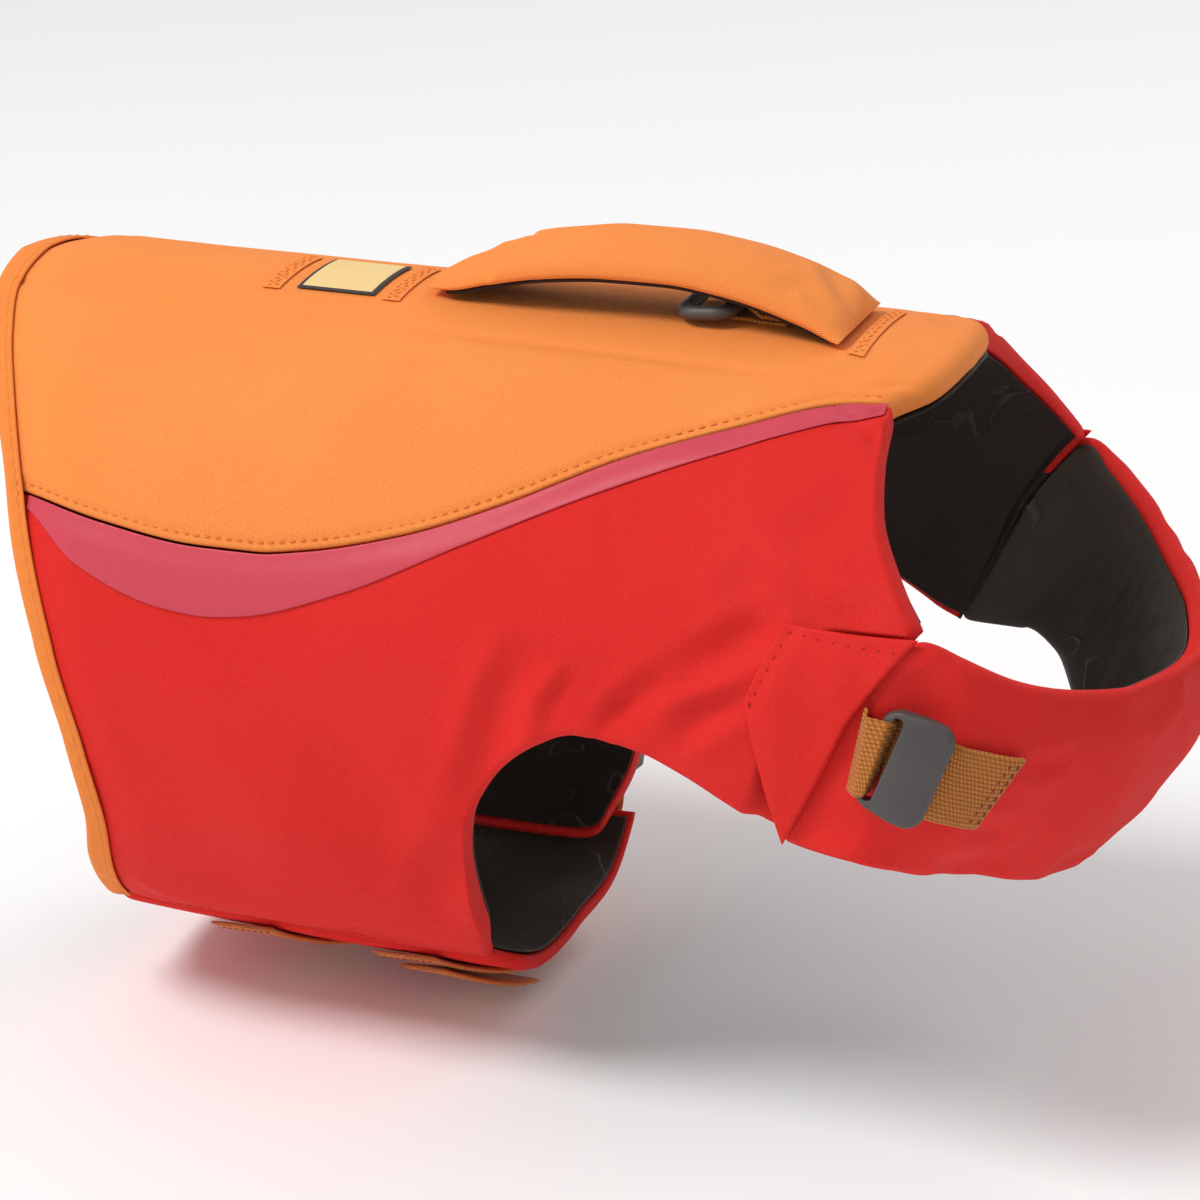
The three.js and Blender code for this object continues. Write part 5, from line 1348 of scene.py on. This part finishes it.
for name, (x, length, half) in handle["tacks"].items():
    rear, front = x - length / 2, x + length / 2
    backStrip(name.replace("tack_", "tack"), rear, front, half, handle["tackThick"] * .45, "backCloth",
              "binding_tape", [name])
    zigzag = [(rear + 1 + (k % 2) * (length - 2), -half + 1 + k * (2 * half - 2) / 22) for k in range(23)]
    stripStitches(name.replace("tack_", "tackStitches"), zigzag, .3 + handle["tackThick"] * .45,
                  "orangeThread", "binding_tape",
                  length=1.8, gap=.5, radius=.3)
rear, front, half, thick = handle["label"]
patch = backStrip("labelEdge", rear, front, half, thick * .7, "patchEdge", "patch", ["label"])
field = backStrip("labelField", rear + 1.4, front - 1.4, half - 1.4, .35, "patchCloth", "patch",
                  lift=thick * .7 - .1)
print("handle made")

ring = {
    "hingeX": 81, "hingeZ": 14.6, "reach": 15, "halfWidth": 14.5, "bar": 2.3, "corner": 5, "lean": 5.5,
    "loopWidth": 17, "loopPlay": .4, "loopThick": 1.5, "loopFront": 98,
}
outline = roundedOutline(0, -ring["halfWidth"], ring["reach"], ring["halfWidth"], ring["corner"], 110)
fall = math.radians(ring["lean"])
centre = np.stack([ring["hingeX"] - outline[:, 0] * math.cos(fall), outline[:, 1],
                   ring["hingeZ"] - outline[:, 0] * math.sin(fall)], -1)
up = np.array([-math.sin(fall), 0, math.cos(fall)])
out = unit(np.cross(np.roll(centre, -1, 0) - np.roll(centre, 1, 0), up))
angle = np.linspace(0, 2 * np.pi, 25)[:-1]
# The bar is round, a little flattened on top as moulded rings are.
rings = centre[:, None] + ring["bar"] * (out[:, None] * np.cos(angle)[:, None] + up
                                         * (np.sin(angle) * .94)[:, None])
loopUv = np.stack(np.meshgrid(np.arange(111) * .7, np.arange(25) * .6, indexing="ij"), -1)
dress(ringsMesh("leashRing", rings, loopUv, looped=True), "moulded", "moulded_plastic", ["leash_ring"],
      body="leash_ring")

# Webbing round the ring's hinge bar: round its rear, and both layers sewn together ahead of it.
radius = ring["bar"] + ring["loopPlay"] + ring["loopThick"] / 2
seat = shell["panelOut"] + .9 + ring["loopThick"] / 2
lower = [(ring["loopFront"] - .4, seat), (ring["hingeX"] + 9, seat), (ring["hingeX"] + 4.5, seat + .5)]
turn = np.linspace(-.5 * np.pi - .15, -1.5 * np.pi + .2, 26)
around = [(ring["hingeX"] + radius * math.cos(a), ring["hingeZ"] + radius * math.sin(a)) for a in turn]
upper = [(ring["hingeX"] + 5, seat + ring["loopThick"] + 2.7),
         (ring["hingeX"] + 9, seat + ring["loopThick"] + .35),
         (ring["loopFront"] - .4, seat + ring["loopThick"] + .1)]
route = np.array(lower + around + upper)
gone = travelled(route, 0)
at = np.linspace(0, gone[-1], 90)
rx, rz = monotoneAt(gone, route[:, 0], at), monotoneAt(gone, route[:, 1], at)
along = unit(np.stack([np.gradient(rx), 0 * rx, np.gradient(rz)], -1))
across = np.broadcast_to([0.0, 1.0, 0.0], along.shape)
normal = np.cross(across, along)
ribbonMesh("ringLoop", np.stack([rx, 0 * rx, rz], -1), along, across, normal, ring["loopWidth"] / 2,
           ring["loopThick"],
           -ring["loopThick"] / 2, nodes=["ring_loop"])
print("ring made")

# Floor, light and camera.
studio = {
    "target": (.035, 0, -.0885), "azimuth": 20, "elevation": 21, "distance": 1.5, "lens": 144,
    "floorDrop": .004,
    "paper": (.97, .97, .97), "sky": .52,
}
scene = bpy.context.scene
low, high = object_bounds()
paper, tree, bsdf, where = newMaterial("floor paper", Roughness=.9)
grain = addNode(tree, "ShaderNodeTexNoise", Vector=where.outputs["Object"], Scale=60.0, Detail=3.0)
tree.links.new(mixColour(tree, mathNode(tree, "MULTIPLY", grain.outputs[0], .03), (*studio["paper"], 1),
                         (.86, .86, .86, 1)), bsdf.inputs["Base Color"])
size = np.linspace(-4000, 4000, 9)
gx, gy = np.meshgrid(size, size, indexing="ij")
height = (low[2] - studio["floorDrop"]) * 1000
index = np.arange(81).reshape(9, 9)
floorPlane = bpy.data.meshes.new("floor")
floorPlane.from_pydata((np.stack([gx, gy, gx * 0 + height], -1).reshape(-1, 3) / 1000).tolist(), [],
                       quads(index).tolist())
floorPiece = bpy.data.objects.new("floor", floorPlane)
floorPlane.materials.append(paper)
scene.collection.objects.link(floorPiece)

world = bpy.data.worlds.new("studio")
scene.world = world
world.use_nodes = True
world.node_tree.nodes["Background"].inputs[0].default_value = (1, 1, 1, 1)
world.node_tree.nodes["Background"].inputs[1].default_value = studio["sky"]


def areaLight(name, location, size, power, target=(0, 0, -.08)):
    light = bpy.data.lights.new(name, "AREA")
    light.shape, light.size, light.energy = "DISK", size, power
    lamp = bpy.data.objects.new(name, light)
    lamp.location = location
    lamp.rotation_euler = (Vector(target) - Vector(location)).to_track_quat("-Z", "Y").to_euler()
    scene.collection.objects.link(lamp)


areaLight("keyLight", (-.9, -.9, 1.7), .9, 30)
areaLight("fillLight", (-1.4, -1.3, .2), 1.2, 3)
areaLight("rimLight", (.6, 1.5, 1.2), 1.0, 8)

azimuth, elevation = math.radians(studio["azimuth"]), math.radians(studio["elevation"])
away = Vector((math.sin(azimuth) * math.cos(elevation), -math.cos(azimuth) * math.cos(elevation),
               math.sin(elevation)))
camera = bpy.data.objects.new("camera", bpy.data.cameras.new("camera"))
camera.data.lens, camera.data.sensor_width = studio["lens"], 36
camera.location = Vector(studio["target"]) + away * studio["distance"]
camera.rotation_euler = (-away).to_track_quat("-Z", "Y").to_euler()
scene.collection.objects.link(camera)
scene.camera = camera
scene.view_settings.view_transform = "Standard"

print("scene made")
